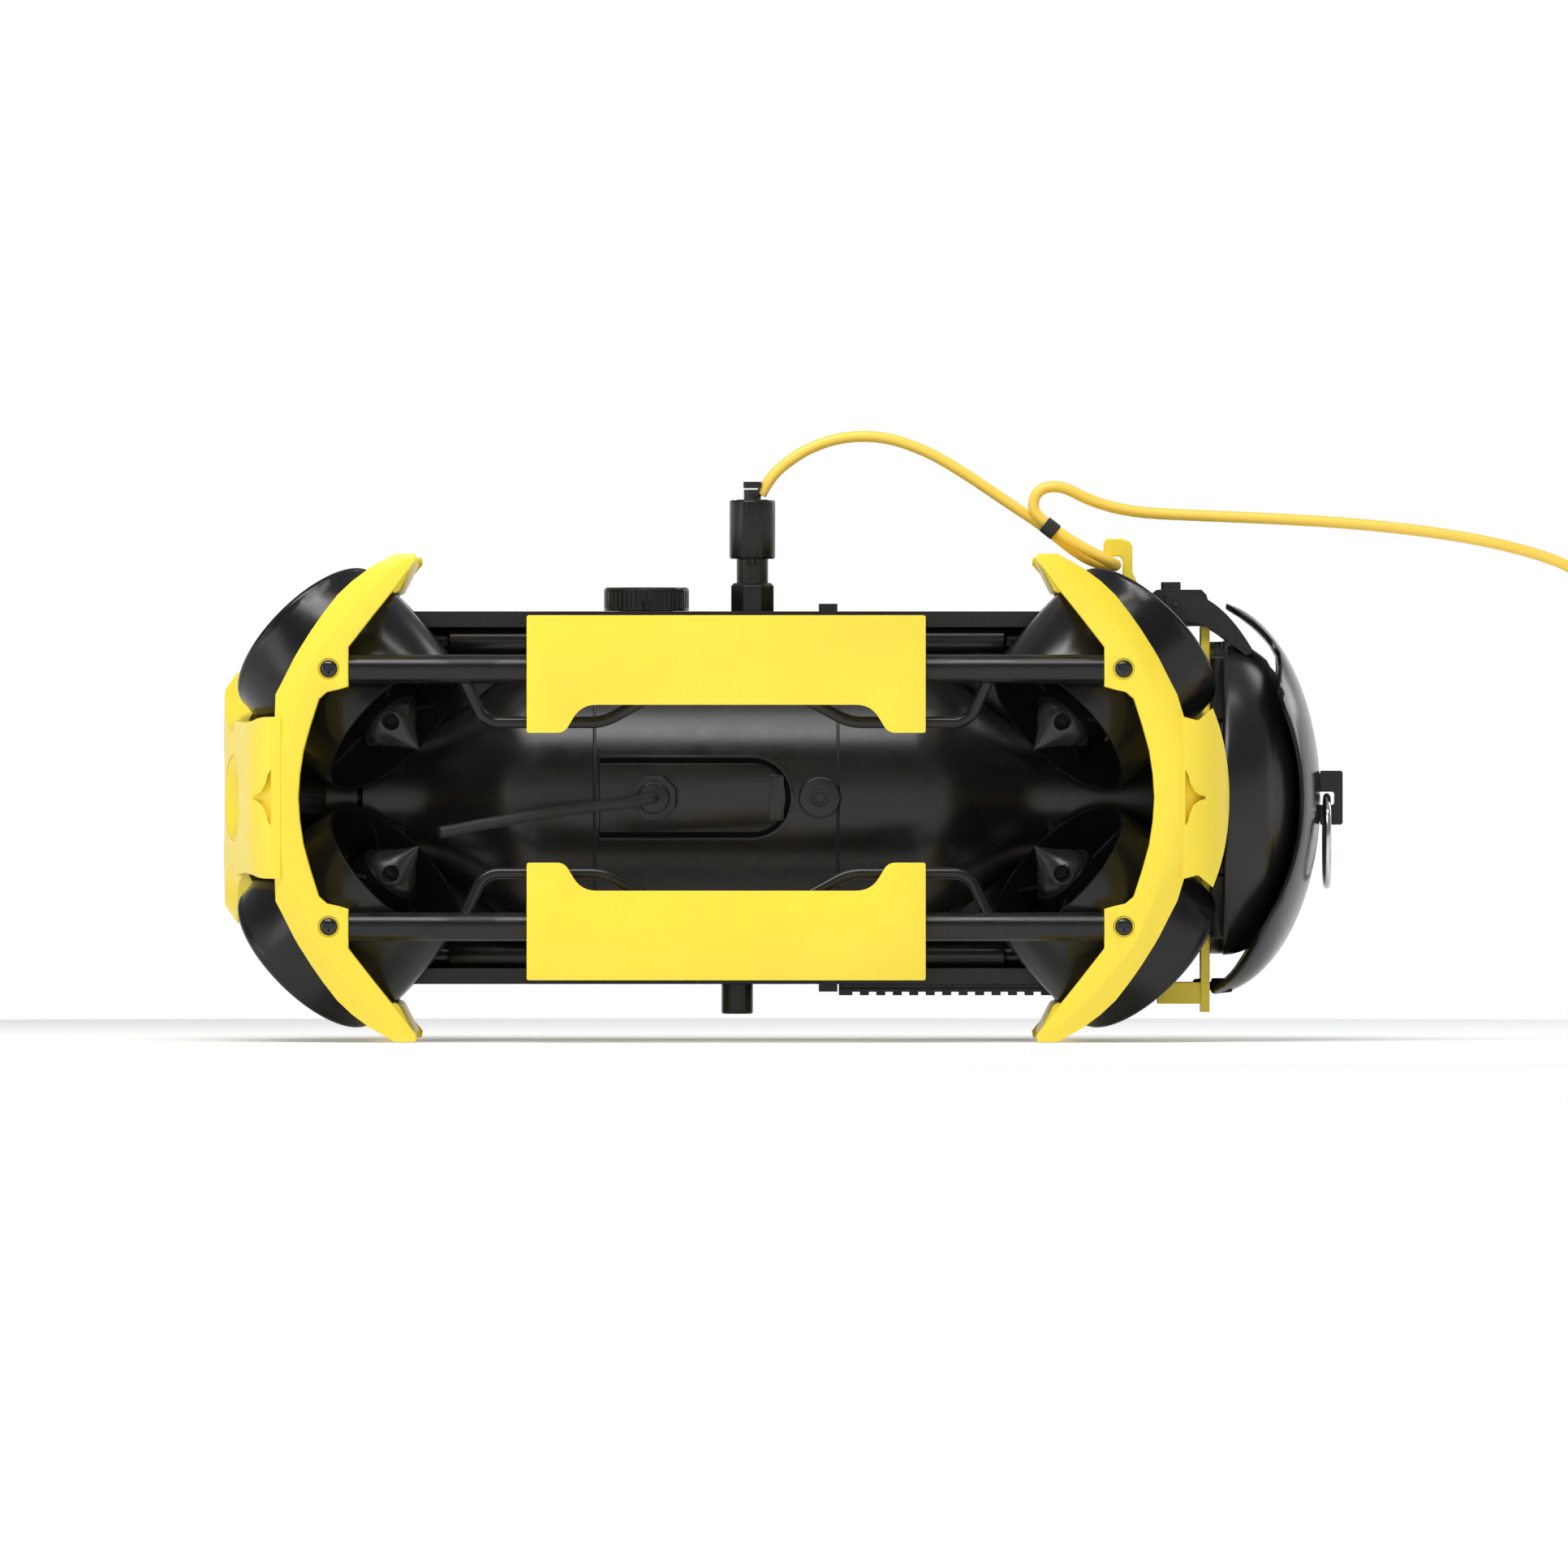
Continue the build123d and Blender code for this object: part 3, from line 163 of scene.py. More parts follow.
def surface(name, colour, rough, metal=0.0, grain=1400.0, depth=0.00004, tint=0.10,
            dust=0.0, edge_wear_and_highlight=0.0, scratch=0.0, rough_spread=0.07, specular=0.5, edge=0.0004):
    """Moulded or machined surface: grain bump, tone drift, uneven gloss, fine scratches and
    edges painted lighter, partly as wear and partly as a painted highlight. Sizes of features
    are per metre in object space."""
    m = bpy.data.materials.new(name)
    m.use_nodes = True
    t = m.node_tree
    shader = t.nodes["Principled BSDF"]
    shader.inputs["Metallic"].default_value = metal
    shader.inputs["Specular IOR Level"].default_value = specular
    shader.inputs["IOR"].default_value = PLASTIC_IOR
    coord = t.nodes.new("ShaderNodeTexCoord").outputs["Object"]
    broad = noise(t, coord, 9.0, 5.0, 0.6)
    patch = noise(t, coord, 70.0, 4.0, 0.6, 0.4)
    fine = noise(t, coord, grain, 3.0, 0.6)
    dark = tuple(c * (1 - tint) for c in colour)
    light = tuple(min(1.0, c * (1 + tint) + 0.004) for c in colour)
    tone = mixed(t, ranged(t, broad, 0.3, 0.7, 0, 1), dark, light)
    tone = mixed(t, ranged(t, fine, 0.42, 0.62, 0, 0.35), tone, dark)
    if dust:
        up = t.nodes.new("ShaderNodeSeparateXYZ")
        t.links.new(t.nodes.new("ShaderNodeNewGeometry").outputs["Normal"], up.inputs[0])
        lie = ranged(t, up.outputs["Z"], 0.3, 1.0, 0, dust)
        both = node_of(t, "ShaderNodeMath", operation="MULTIPLY")
        t.links.new(lie, both.inputs[0])
        t.links.new(ranged(t, patch, 0.35, 0.7, 0, 1), both.inputs[1])
        tone = mixed(t, both.outputs[0], tone, (0.35, 0.35, 0.34))
    gloss = ranged(t, patch, 0.3, 0.72, max(0.03, rough - rough_spread), rough + rough_spread)
    soft = node_of(t, "ShaderNodeBevel", samples=4)
    soft.inputs["Radius"].default_value = edge
    # Edges painted lighter: partly wear, partly a painted highlight along every edge.
    if edge_wear_and_highlight:
        geo = t.nodes.new("ShaderNodeNewGeometry")
        dot = node_of(t, "ShaderNodeVectorMath", operation="DOT_PRODUCT")
        t.links.new(soft.outputs[0], dot.inputs[0])
        t.links.new(geo.outputs["Normal"], dot.inputs[1])
        worn_and_highlit_edge = ranged(t, dot.outputs["Value"], 0.985, 0.86, 0, edge_wear_and_highlight)
        tone = mixed(t, worn_and_highlit_edge, tone, tuple(min(1.0, c * 1.35 + 0.05) for c in colour))
    if scratch:
        cells = node_of(t, "ShaderNodeTexVoronoi", feature="DISTANCE_TO_EDGE")
        cells.inputs["Scale"].default_value = 38.0
        stretch = node_of(t, "ShaderNodeMapping")
        stretch.inputs["Scale"].default_value = (0.35, 1.0, 1.4)
        stretch.inputs["Rotation"].default_value = (0.3, 0.2, 0.5)
        t.links.new(coord, stretch.inputs["Vector"])
        t.links.new(stretch.outputs[0], cells.inputs["Vector"])
        line = ranged(t, cells.outputs["Distance"], 0.0, 0.012, scratch, 0.0)
        tone = mixed(t, line, tone, tuple(min(1.0, c * 1.25 + 0.03) for c in colour))
    t.links.new(tone, shader.inputs["Base Color"])
    t.links.new(gloss, shader.inputs["Roughness"])
    bump = node_of(t, "ShaderNodeBump")
    bump.inputs["Strength"].default_value = 0.5
    bump.inputs["Distance"].default_value = depth
    t.links.new(fine, bump.inputs["Height"])
    t.links.new(soft.outputs[0], bump.inputs["Normal"])
    t.links.new(bump.outputs[0], shader.inputs["Normal"])
    return m


MATERIAL = {
    "hull_black": surface("hull_black", (0.007, 0.007, 0.0075), 0.30, dust=0.03, edge_wear_and_highlight=0.25,
                          rough_spread=0.04, specular=0.42),
    "frame_black": surface("frame_black", (0.006, 0.006, 0.0065), 0.25, dust=0.03, edge_wear_and_highlight=0.3,
                           rough_spread=0.04, specular=0.36),
    "duct_black": surface("duct_black", (0.005, 0.0053, 0.006), 0.22, edge_wear_and_highlight=0.3,
                          rough_spread=0.03, grain=2200.0, specular=0.36),
    "propeller_grey": surface("propeller_grey", (0.028, 0.029, 0.031), 0.34, edge_wear_and_highlight=0.3,
                              grain=900.0),
    "motor_dark": surface("motor_dark", (0.020, 0.021, 0.023), 0.30, metal=0.2, grain=2600.0,
                          edge_wear_and_highlight=0.4),
    "bumper_yellow": surface("bumper_yellow", (0.96, 0.745, 0.048), 0.40, grain=1100.0,
                             depth=0.00006, tint=0.04, edge_wear_and_highlight=0.12, edge=0.0007),
    "rubber_black": surface("rubber_black", (0.010, 0.010, 0.011), 0.62, grain=1700.0,
                            depth=0.00009, dust=0.10),
    "screw_black": surface("screw_black", (0.009, 0.010, 0.014), 0.20, edge_wear_and_highlight=0.6,
                           grain=3000.0),
    "guard_black": surface("guard_black", (0.003, 0.003, 0.0035), 0.17, edge_wear_and_highlight=0.2,
                           rough_spread=0.03, grain=2200.0, specular=0.26),
    # Near-black, used as painted shade in the hatch groove.
    "groove_painted_shade": surface("groove_painted_shade", (0.002, 0.002, 0.002), 0.7, specular=0.08),
    "battery_blue": surface("battery_blue", (0.03, 0.12, 0.38), 0.35, grain=500.0),
    "board_green": surface("board_green", (0.02, 0.16, 0.07), 0.42, grain=500.0),
    "ring_steel": surface("ring_steel", (0.62, 0.63, 0.64), 0.20, metal=1.0, grain=2200.0,
                          depth=0.00002, scratch=0.15, edge_wear_and_highlight=0.1),
    "lamp_alu": surface("lamp_alu", (0.70, 0.71, 0.73), 0.26, metal=1.0, grain=1800.0,
                        depth=0.00002),
    "cord_yellow": surface("cord_yellow", (0.95, 0.64, 0.085), 0.36, grain=700.0,
                           depth=0.000006, tint=0.012),
}


def lens_material():
    m = bpy.data.materials.new("lens_clear")
    m.use_nodes = True
    t = m.node_tree
    s = t.nodes["Principled BSDF"]
    s.inputs["Transmission Weight"].default_value = 0.92
    s.inputs["IOR"].default_value = ACRYLIC_IOR
    s.inputs["Coat Weight"].default_value = 0.3
    coord = t.nodes.new("ShaderNodeTexCoord").outputs["Object"]
    tone = mixed(t, ranged(t, noise(t, coord, 30.0), 0.3, 0.7, 0, 1),
                 (0.86, 0.90, 0.93), (0.93, 0.95, 0.97))
    t.links.new(tone, s.inputs["Base Color"])
    t.links.new(ranged(t, noise(t, coord, 160.0), 0.4, 0.75, 0.02, 0.09),
                s.inputs["Roughness"])
    return m


MATERIAL["lens_clear"] = lens_material()


# ---------------------------------------------------------------- mesh tools, all in millimetres
def finish_piece(obj, slot, body="root", nodes=(), material=None):
    obj.data.materials.clear()
    obj.data.materials.append(material or MATERIAL[slot])
    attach(obj, body)
    if nodes:
        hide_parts(*nodes)
    return obj


def link_mesh(name, bm, bevel=0.0, segments=2, sharp=32.0, scale=MM):
    """bm in millimetres becomes an object in metres, with rounded edges and clean shading."""
    bmesh.ops.recalc_face_normals(bm, faces=bm.faces)
    mesh = bpy.data.meshes.new(name)
    bm.to_mesh(mesh)
    bm.free()
    mesh.transform(Matrix.Scale(scale, 4))
    for p in mesh.polygons:
        p.use_smooth = True
    mesh.set_sharp_from_angle(angle=math.radians(sharp))
    obj = bpy.data.objects.new(name, mesh)
    scene.collection.objects.link(obj)
    if bevel:
        mod = obj.modifiers.new("round", "BEVEL")
        mod.width, mod.segments = bevel * MM, segments
        mod.limit_method, mod.angle_limit = "ANGLE", math.radians(sharp)
        mod.harden_normals = True
        mod.use_clamp_overlap = True
        mod.miter_outer = "MITER_ARC"
    return obj


def from_node(node, slot, bevel):
    """The node's own solid, its flat faces joined up again and its edges rounded."""
    source = NODES[node]
    bm = bmesh.new()
    bm.from_mesh(source.data)
    bmesh.ops.remove_doubles(bm, verts=bm.verts, dist=2e-6)
    bmesh.ops.dissolve_limit(bm, angle_limit=math.radians(0.35), verts=bm.verts,
                             edges=bm.edges, delimit={"NORMAL"})
    obj = link_mesh(node + "_piece", bm, bevel, scale=1.0)
    finish_piece(obj, slot, source["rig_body"], (node,))


def plain_node(node, slot):
    source = NODES[node]
    source.data.materials.clear()
    source.data.materials.append(MATERIAL[slot])


# ---------------------------------------------------------------- the tether
CORD_D, CORD_LENGTH = 7.0, 15.0  # millimetres, metres
TETHER_ROUTE = [
    (-13.3, 0, 331.0), (-8.6, 0.6, 340.5), (2.5, 1.2, 351.0), (18.0, 1.8, 360.6),
    (38.0, 2.3, 366.6), (62.0, 2.7, 366.5), (88.0, 3.0, 357.6), (112.0, 3.3, 343.2),
    (136.0, 3.6, 326.8), (158.0, 3.8, 312.5), (177.0, 5.4, 296.6), (190.0, 7.0, 289.6),
    (202.2, 7.0, 287.6), (202.2, -7.0, 288.8), (188.0, -7.0, 295.6),
    (172.5, -5.4, 304.6), (160.0, -3.8, 313.4), (151.0, -3.9, 322.0),
    (154.5, -4.0, 334.5), (169.0, -3.5, 337.0), (187.0, -2.0, 327.0),
    (212.0, -0.5, 320.4), (246.0, 1.0, 318.6), (290.0, 1.5, 316.9),
    (340.0, 1.0, 314.2), (392.0, 0.0, 308.9), (440.0, -1.0, 300.6),
    (484.0, -1.6, 286.6), (517.0, -1.8, 258.0), (533.0, -1.4, 214.0),
    (539.5, -0.8, 160.0), (540.6, 0.0, 104.0), (541.0, 0.0, 76.0),
    (541.4, -7.0, 57.5), (543.4, -19.0, 48.6),
]
TAIL_ROUTE = [(578, 91.6, 4.0), (553, 96.5, 7.4)]
COIL_X, INNER_R, OUTER_R = 604.0, 43.6, 82.4
LAYERS, LAYER_TURNS, STEP = 6, 5.5, 24.0
FIRST_Z = CORD_D / 2
CURVE_SHRINK = math.cos(math.radians(STEP / 2))
ROUND_STEPS, ALONG_STEPS = 3, 4


def coil_points():
    """Turns wound counter-clockwise, top layer first, in and out by turns."""
    lanes = []  # (angle in degrees, radius, height)
    top = FIRST_Z + CORD_D * LAYERS
    lanes += [(210, 63.0, top), (450, OUTER_R, top), (570, OUTER_R, top - CORD_D)]
    angle = 570.0
    for layer in range(LAYERS):
        z = top - CORD_D * (layer + 1)
        angle += 360.0 * LAYER_TURNS
        far = INNER_R if layer % 2 == 0 else OUTER_R
        lanes.append((angle, far, z))
        if layer < LAYERS - 1:
            angle += 120.0
            lanes.append((angle, far, z - CORD_D))
    last_angle, last_r, last_z = lanes[-1]
    lanes[-1] = (last_angle - 72.0, last_r, last_z)
    lanes.append((last_angle, 89.6, 3.6))
    points, where, lane = [], lanes[0][0], 0
    while where <= lanes[-1][0] + 0.01:
        while lane < len(lanes) - 2 and where > lanes[lane + 1][0]:
            lane += 1
        (a0, r0, z0), (a1, r1, z1) = lanes[lane], lanes[lane + 1]
        share = min(1.0, max(0.0, (where - a0) / (a1 - a0)))
        r = (r0 + (r1 - r0) * share) / CURVE_SHRINK
        z = z0 + (z1 - z0) * share
        turn = math.radians(where)
        points.append((COIL_X + r * math.cos(turn), r * math.sin(turn), z))
        where += STEP
    return points


def cord_curve(name, points, diameter):
    data = bpy.data.curves.new(name, "CURVE")
    data.dimensions = "3D"
    data.bevel_depth, data.bevel_resolution = diameter / 2 * MM, ROUND_STEPS
    data.resolution_u, data.use_fill_caps = ALONG_STEPS, True
    spline = data.splines.new("NURBS")
    spline.points.add(len(points) - 1)
    for point, place in zip(spline.points, points):
        point.co = (*(Vector(place) * MM), 1.0)
    spline.order_u, spline.use_endpoint_u = 3, True
    obj = bpy.data.objects.new(name, data)
    scene.collection.objects.link(obj)
    return obj


tether_points = TETHER_ROUTE + coil_points() + TAIL_ROUTE
tether = cord_curve("tether", tether_points, CORD_D)
finish_piece(tether, "cord_yellow", nodes=("tether_tube", "tether_coil"))


# ---------------------------------------------------------------- shape tools, all in millimetres
def solid(name, rings, closed=True, caps=True, **options):
    """Skin through rings of equally many points; the first and last are closed by a face."""
    bm = bmesh.new()
    rows = [[bm.verts.new(p) for p in ring] for ring in rings]
    count = len(rows[0])
    for low, high in zip(rows, rows[1:]):
        for i in range(count if closed else count - 1):
            j = (i + 1) % count
            bm.faces.new((low[i], low[j], high[j], high[i]))
    if caps:
        bm.faces.new(list(reversed(rows[0])))
        bm.faces.new(rows[-1])
    return link_mesh(name, bm, **options)


def lathe(name, profile, origin, axis, segments=64, **options):
    """profile is a closed outline of (distance along the axis, radius)."""
    axis = Vector(axis).normalized()
    across = axis.orthogonal().normalized()
    other = axis.cross(across)
    bm = bmesh.new()
    rows = []
    for turn in range(segments):
        a = 2 * math.pi * turn / segments
        out = across * math.cos(a) + other * math.sin(a)
        rows.append([bm.verts.new(Vector(origin) + axis * t + out * r) for t, r in profile])
    for k in range(segments):
        here, there = rows[k], rows[(k + 1) % segments]
        for i in range(len(profile)):
            j = (i + 1) % len(profile)
            bm.faces.new((here[i], here[j], there[j], there[i]))
    bmesh.ops.remove_doubles(bm, verts=bm.verts, dist=0.0005)
    return link_mesh(name, bm, **options)


def prism(name, outline, start, end, frame_x, frame_y, normal, **options):
    """Flat outline of (a, b) pushed from start to end along the normal."""
    x, y, n = Vector(frame_x), Vector(frame_y), Vector(normal)
    rings = [[x * a + y * b + n * level for a, b in outline] for level in (start, end)]
    return solid(name, rings, **options)


def side_prism(name, outline, y0, y1, **options):
    """Outline of (x, z above the axis), pushed from y0 to y1."""
    return prism(name, [(x, z + MID_Z) for x, z in outline], y0, y1,
                 (1, 0, 0), (0, 0, 1), (0, 1, 0), **options)


def round_corners(outline, radius, steps=5):
    """Each corner becomes an arc of the given radius, or of what its sides allow."""
    points, count = [], len(outline)
    for i in range(count):
        corner = Vector(outline[i])
        back, ahead = Vector(outline[i - 1]) - corner, Vector(outline[(i + 1) % count]) - corner
        angle = back.angle(ahead)
        size = radius[i] if hasattr(radius, "__len__") else radius
        cut = min(size / math.tan(angle / 2), 0.48 * back.length, 0.48 * ahead.length)
        if size <= 0 or angle > math.radians(178):
            points.append(tuple(corner))
            continue
        a, b = corner + back.normalized() * cut, corner + ahead.normalized() * cut
        for k in range(steps + 1):
            t = k / steps
            points.append(tuple(a * (1 - t) ** 2 + corner * 2 * t * (1 - t) + b * t ** 2))
    return points


def joined(name, parts, sharp=32.0):
    """One object from several, their modifiers applied."""
    depsgraph = bpy.context.evaluated_depsgraph_get()
    bm = bmesh.new()
    for part in parts:
        mesh = bpy.data.meshes.new_from_object(part.evaluated_get(depsgraph))
        mesh.transform(part.matrix_world)
        bm.from_mesh(mesh)
        bpy.data.objects.remove(part)
    mesh = bpy.data.meshes.new(name)
    bm.to_mesh(mesh)
    bm.free()
    for p in mesh.polygons:
        p.use_smooth = True
    mesh.set_sharp_from_angle(angle=math.radians(sharp))
    obj = bpy.data.objects.new(name, mesh)
    scene.collection.objects.link(obj)
    return obj


def cut_away(obj, cutters, bevel=0.0, sharp=32.0, segments=2):
    """Takes the cutters out of obj, then rounds the edges that are left."""
    for cutter in cutters:
        mod = obj.modifiers.new("cut", "BOOLEAN")
        mod.object, mod.operation, mod.solver = cutter, "DIFFERENCE", "EXACT"
    bpy.context.view_layer.update()
    depsgraph = bpy.context.evaluated_depsgraph_get()
    mesh = bpy.data.meshes.new_from_object(obj.evaluated_get(depsgraph))
    obj.modifiers.clear()
    obj.data = mesh
    for cutter in cutters:
        bpy.data.objects.remove(cutter)
    for p in mesh.polygons:
        p.use_smooth = True
    mesh.set_sharp_from_angle(angle=math.radians(sharp))
    if bevel:
        mod = obj.modifiers.new("round", "BEVEL")
        mod.width, mod.segments = bevel * MM, segments
        mod.limit_method, mod.angle_limit = "ANGLE", math.radians(sharp)
        mod.harden_normals = True
    return obj


# ---------------------------------------------------------------- bumper arms
# (distance from the middle, height above the axis) of the inner edge, the crease and the outer
# edge, from the level of the axis up to the tip.
ARM_STATIONS = [
    ((257.7, 0), (270.0, 0), (274.5, 0)), ((256.8, 14), (269.0, 15), (274.5, 16)),
    ((254.6, 28.4), (267.0, 31), (274.5, 32)), ((250.3, 43.9), (262.0, 47), (274.5, 49)),
    ((245.3, 59.5), (257.0, 63), (271.5, 62.3)), ((240.5, 63.7), (254.0, 70), (268.0, 69)),
    ((233.3, 65.3), (252.0, 75), (264.5, 76)), ((227.6, 67.0), (249.5, 81), (260.5, 84)),
    ((227.6, 78), (247.0, 87), (257.4, 89.3)), ((227.6, 90.7), (238.5, 98), (250.0, 101)),
    ((220.0, 100.5), (229.5, 109), (243.0, 111)), ((212.2, 110.5), (220.5, 119), (234.5, 122)),
    ((205.0, 119.5), (212.5, 127), (225.5, 130.5)), ((198.0, 128.2), (203.5, 135), (214.0, 139)),
    ((191.5, 137.0), (194.8, 141.5), (199.4, 147)), ((186.5, 143), (186.9, 145), (187.3, 147)),
]
ARM_BACK, ARM_FACE = 126.5, 146.0
TUBE_Z = 77.6
SCREW_U, SCREW_Z = 239.4, TUBE_Z
# How far the outer edge lies behind the flat face, at each station.
ARM_DROPS = (0.3, 0.4, 0.8, 2.2, 4.2, 5.4, 6.2, 6.6, 6.8, 6.6, 6.2, 5.6, 4.8, 3.8, 2.0, 0.6)


def arm_pair(name, end, node):
    halves = []
    for side in (-1, 1):
        levels = [(i, -1) for i in range(len(ARM_STATIONS) - 1, 0, -1)]
        levels += [(i, 1) for i in range(len(ARM_STATIONS))]
        rings = []
        for i, up in levels:
            inner, crease, outer = [
                (MID_X + end * u, MID_Z + up * z) for u, z in ARM_STATIONS[i]]
            if i < 4:
                outer = (outer[0] + (2.6 if end < 0 else 1.0), outer[1])
            rings.append([
                (inner[0], side * (ARM_FACE - 0.8), inner[1]),
                (inner[0] + end * 0.8, side * ARM_FACE, inner[1]),
                (crease[0], side * ARM_FACE, crease[1]),
                (outer[0], side * (ARM_FACE - ARM_DROPS[i]), outer[1]),
                (outer[0], side * ARM_BACK, outer[1]),
                (inner[0], side * ARM_BACK, inner[1])])
        half = solid("arm", rings)
        cutters = [lathe("recess", [(-4, 0), (-4, 6.4), (1.7, 6.4), (1.7, 0)],
                         (MID_X + end * SCREW_U, side * ARM_FACE, MID_Z + up * SCREW_Z),
                         (0, -side, 0), 48) for up in (-1, 1)]
        halves.append(cut_away(half, cutters, 1.2, 13.0, 3))
        halves += [lathe("ring", [(0.5, 5.4), (0.35, 5.6), (0.35, 5.9), (0.6, 6.05), (2.2, 6.05),
                                  (2.2, 5.3)],
                         (MID_X + end * SCREW_U, side * ARM_FACE, MID_Z + up * SCREW_Z),
                         (0, -side, 0), 48) for up in (-1, 1)]
    return finish_piece(joined(name, halves, 20.0), "bumper_yellow", nodes=(node,))


arm_pair("front_arms_piece", -1, "front_arms")
arm_pair("rear_arms_piece", 1, "rear_arms")


# ---------------------------------------------------------------- nose and yoke
def star_cutter(side, wall_x, way, wall_y, point_y):
    """Three-pointed pocket: a straight wall on one side, drawn out to a point on the other.
    Its floor slopes from wall_y at the wall to point_y at the point."""
    arm = [(0, 16.8), (1.8, 13.5), (3.0, 8.5), (5.4, 4.0), (8.4, 1.7), (12.0, 0.7)]
    outline = arm + [(a, -b) for a, b in reversed(arm)]
    rings = []
    for outer in (False, True):
        ring = []
        for a, b in outline:
            floor_y = wall_y + (point_y - wall_y) * a / arm[-1][0]
            y = ARM_FACE + 8 if outer else floor_y
            ring.append((wall_x + way * a, side * y, MID_Z + b))
        rings.append(ring)
    return solid("star", rings)


# Outer skin in plan as (x, |y|, half-height), then the inner skin at the same stations.
NOSE_SKIN = [
    ((-302.6, 146.25, 48.9), (-302.6, 131.0)), ((-305.6, 146.3, 48.8), (-305.6, 131.0)),
    ((-308.8, 145.9, 48.7), (-308.5, 131.0)), ((-313.0, 143.6, 48.6), (-309.5, 128.5)),
    ((-317.5, 139.0, 48.0), (-311.0, 125.5)), ((-321.5, 131.0, 46.6), (-312.5, 120.0)),
    ((-324.6, 118.5, 45.6), (-314.5, 110.0)), ((-327.0, 103.0, 45.2), (-316.5, 98.0)),
    ((-329.0, 88.0, 45.6), (-318.5, 86.0)), ((-331.0, 74.0, 46.2), (-321.0, 73.0)),
    ((-333.4, 63.0, 46.8), (-323.0, 62.0)), ((-336.0, 50.0, 47.6), (-323.0, 50.0)),
    ((-338.2, 36.0, 51.0), (-321.5, 36.0)), ((-339.2, 22.0, 58.0), (-319.0, 22.0)),
    ((-339.8, 11.0, 70.0), (-318.5, 11.0)), ((-340.0, 0.0, 76.0), (-318.5, 0.0)),
]
LAMP_OUT = {side: Vector((-math.cos(math.radians(12.6)), side * math.sin(math.radians(12.6)), 0))
            for side in (-1, 1)}
LAMP_AT = {side: Vector((-333.0, side * 63.0, MID_Z)) for side in (-1, 1)}
LEVELS = (-1.0, -0.86, -0.6, -0.2, 0.2, 0.6, 0.86, 1.0)


def nose_crown(k, level):
    """How far the skin at station k bends back: back along x, and in towards the middle."""
    crown = 1.5 * level ** 2
    if abs(level) == 1.0:
        crown += 0.0 if k <= 4 else 0.6 if k <= 10 else 7.0
    inward = 0.15 if k <= 2 else 0.5 if k <= 5 else 0.1
    return crown * (0.2 if k < 4 else 1.0), crown * inward


def nose_shell():
    stations = [(-1, k) for k in range(len(NOSE_SKIN))]
    stations += [(1, k) for k in range(len(NOSE_SKIN) - 2, -1, -1)]
    rings = []
    for side, k in stations:
        (x, y, half), (inner_x, inner_y) = NOSE_SKIN[k]
        ring = []
        for level in LEVELS:
            back, inward = nose_crown(k, level)
            ring.append((x + back, side * (y - inward) if y else 0.0, MID_Z + half * level))
        for level in reversed(LEVELS):
            ring.append((inner_x, side * inner_y, MID_Z + (half - 0.2) * level))
        rings.append(ring)
    shell = solid("front_nose_piece", rings)
    cutters = [lathe("bore", [(-8, 0), (-8, 33.0), (40, 33.0), (40, 0)],
                     (-339.0, 0, MID_Z), (1, 0, 0), 72)]
    for side in (-1, 1):
        cutters.append(lathe("bore", [(-12, 0), (-12, 26.0), (30, 26.0), (30, 0)],
                             LAMP_AT[side], -LAMP_OUT[side], 64))
        cutters.append(star_cutter(side, -308.3, -1, 142.0, 133.4))
    cut_away(shell, cutters, 1.1, 24.0, 3)
    finish_piece(shell, "bumper_yellow", nodes=("front_nose",))


nose_shell()


def node_copy(name, nodes):
    """The nodes' own solids as one object without modifiers, flat faces joined up again."""
    bm = bmesh.new()
    for node in nodes:
        bm.from_mesh(NODES[node].data)
    bmesh.ops.remove_doubles(bm, verts=bm.verts, dist=2e-6)
    return link_mesh(name, bm, scale=1.0)


yoke = node_copy("rear_yoke_piece", ["rear_yoke"])
cut_away(yoke, [star_cutter(side, 242.4, 1, 141.6, 134.0) for side in (-1, 1)], 0.5, 24.0, 2)
finish_piece(yoke, "bumper_yellow", nodes=("rear_yoke",))

# ---------------------------------------------------------------- headlights
dishes, lamp_lenses = [], []
for side in (-1, 1):
    dishes.append(lathe("dish", [(-0.8, 25.8), (-1.0, 24.9), (-3.0, 22.0), (-6.5, 17.6),
                                 (-9.5, 15.4), (-11.6, 15.2), (-11.6, 13.2), (-19.8, 13.2),
                                 (-19.8, 25.8)], LAMP_AT[side], LAMP_OUT[side], 96))
    lamp_lenses.append(lathe("lens", [(-9.8, 0), (-10.0, 6), (-10.7, 12), (-11.5, 15.1),
                                      (-13.0, 15.1), (-13.0, 0)],
                             LAMP_AT[side], LAMP_OUT[side], 64))
finish_piece(joined("headlights_piece", dishes, 30), "lamp_alu", nodes=("headlights",),
             material=MATERIAL["bumper_yellow"])
finish_piece(joined("headlight_lenses_piece", lamp_lenses, 30), "lens_clear",
             nodes=("headlight_lenses",))
leds = []
for side in (-1, 1):
    normal, centre = LAMP_OUT[side], LAMP_AT[side] - LAMP_OUT[side] * 19.0
    leds.append(lathe("plate", [(-0.7, 0), (-0.7, 13.0), (0.4, 13.0), (0.4, 0)], centre,
                      normal, 48))
    across = normal.cross(Vector((0, 0, 1)))
    for k in range(7):
        turn = 2 * math.pi * k / 6
        off = Vector((0, 0, 0)) if k == 6 else (
            across * math.cos(turn) + Vector((0, 0, 1)) * math.sin(turn)) * 8.0
        leds.append(lathe("led", [(0.4, 0), (0.4, 3.2), (1.4, 3.0), (2.6, 2.0), (3.0, 0)],
                          centre + off, normal, 24))
finish_piece(joined("headlight_leds", leds, 30), "lamp_alu")


# ---------------------------------------------------------------- tail guard and dome
SHELL_X, SHELL_A, SHELL_B, SHELL_T = 258.9, 67.7, 119.5, 3.0
PIN_X, PIN_Z, BOLT_Z = 238.0, 117.2, -114.5
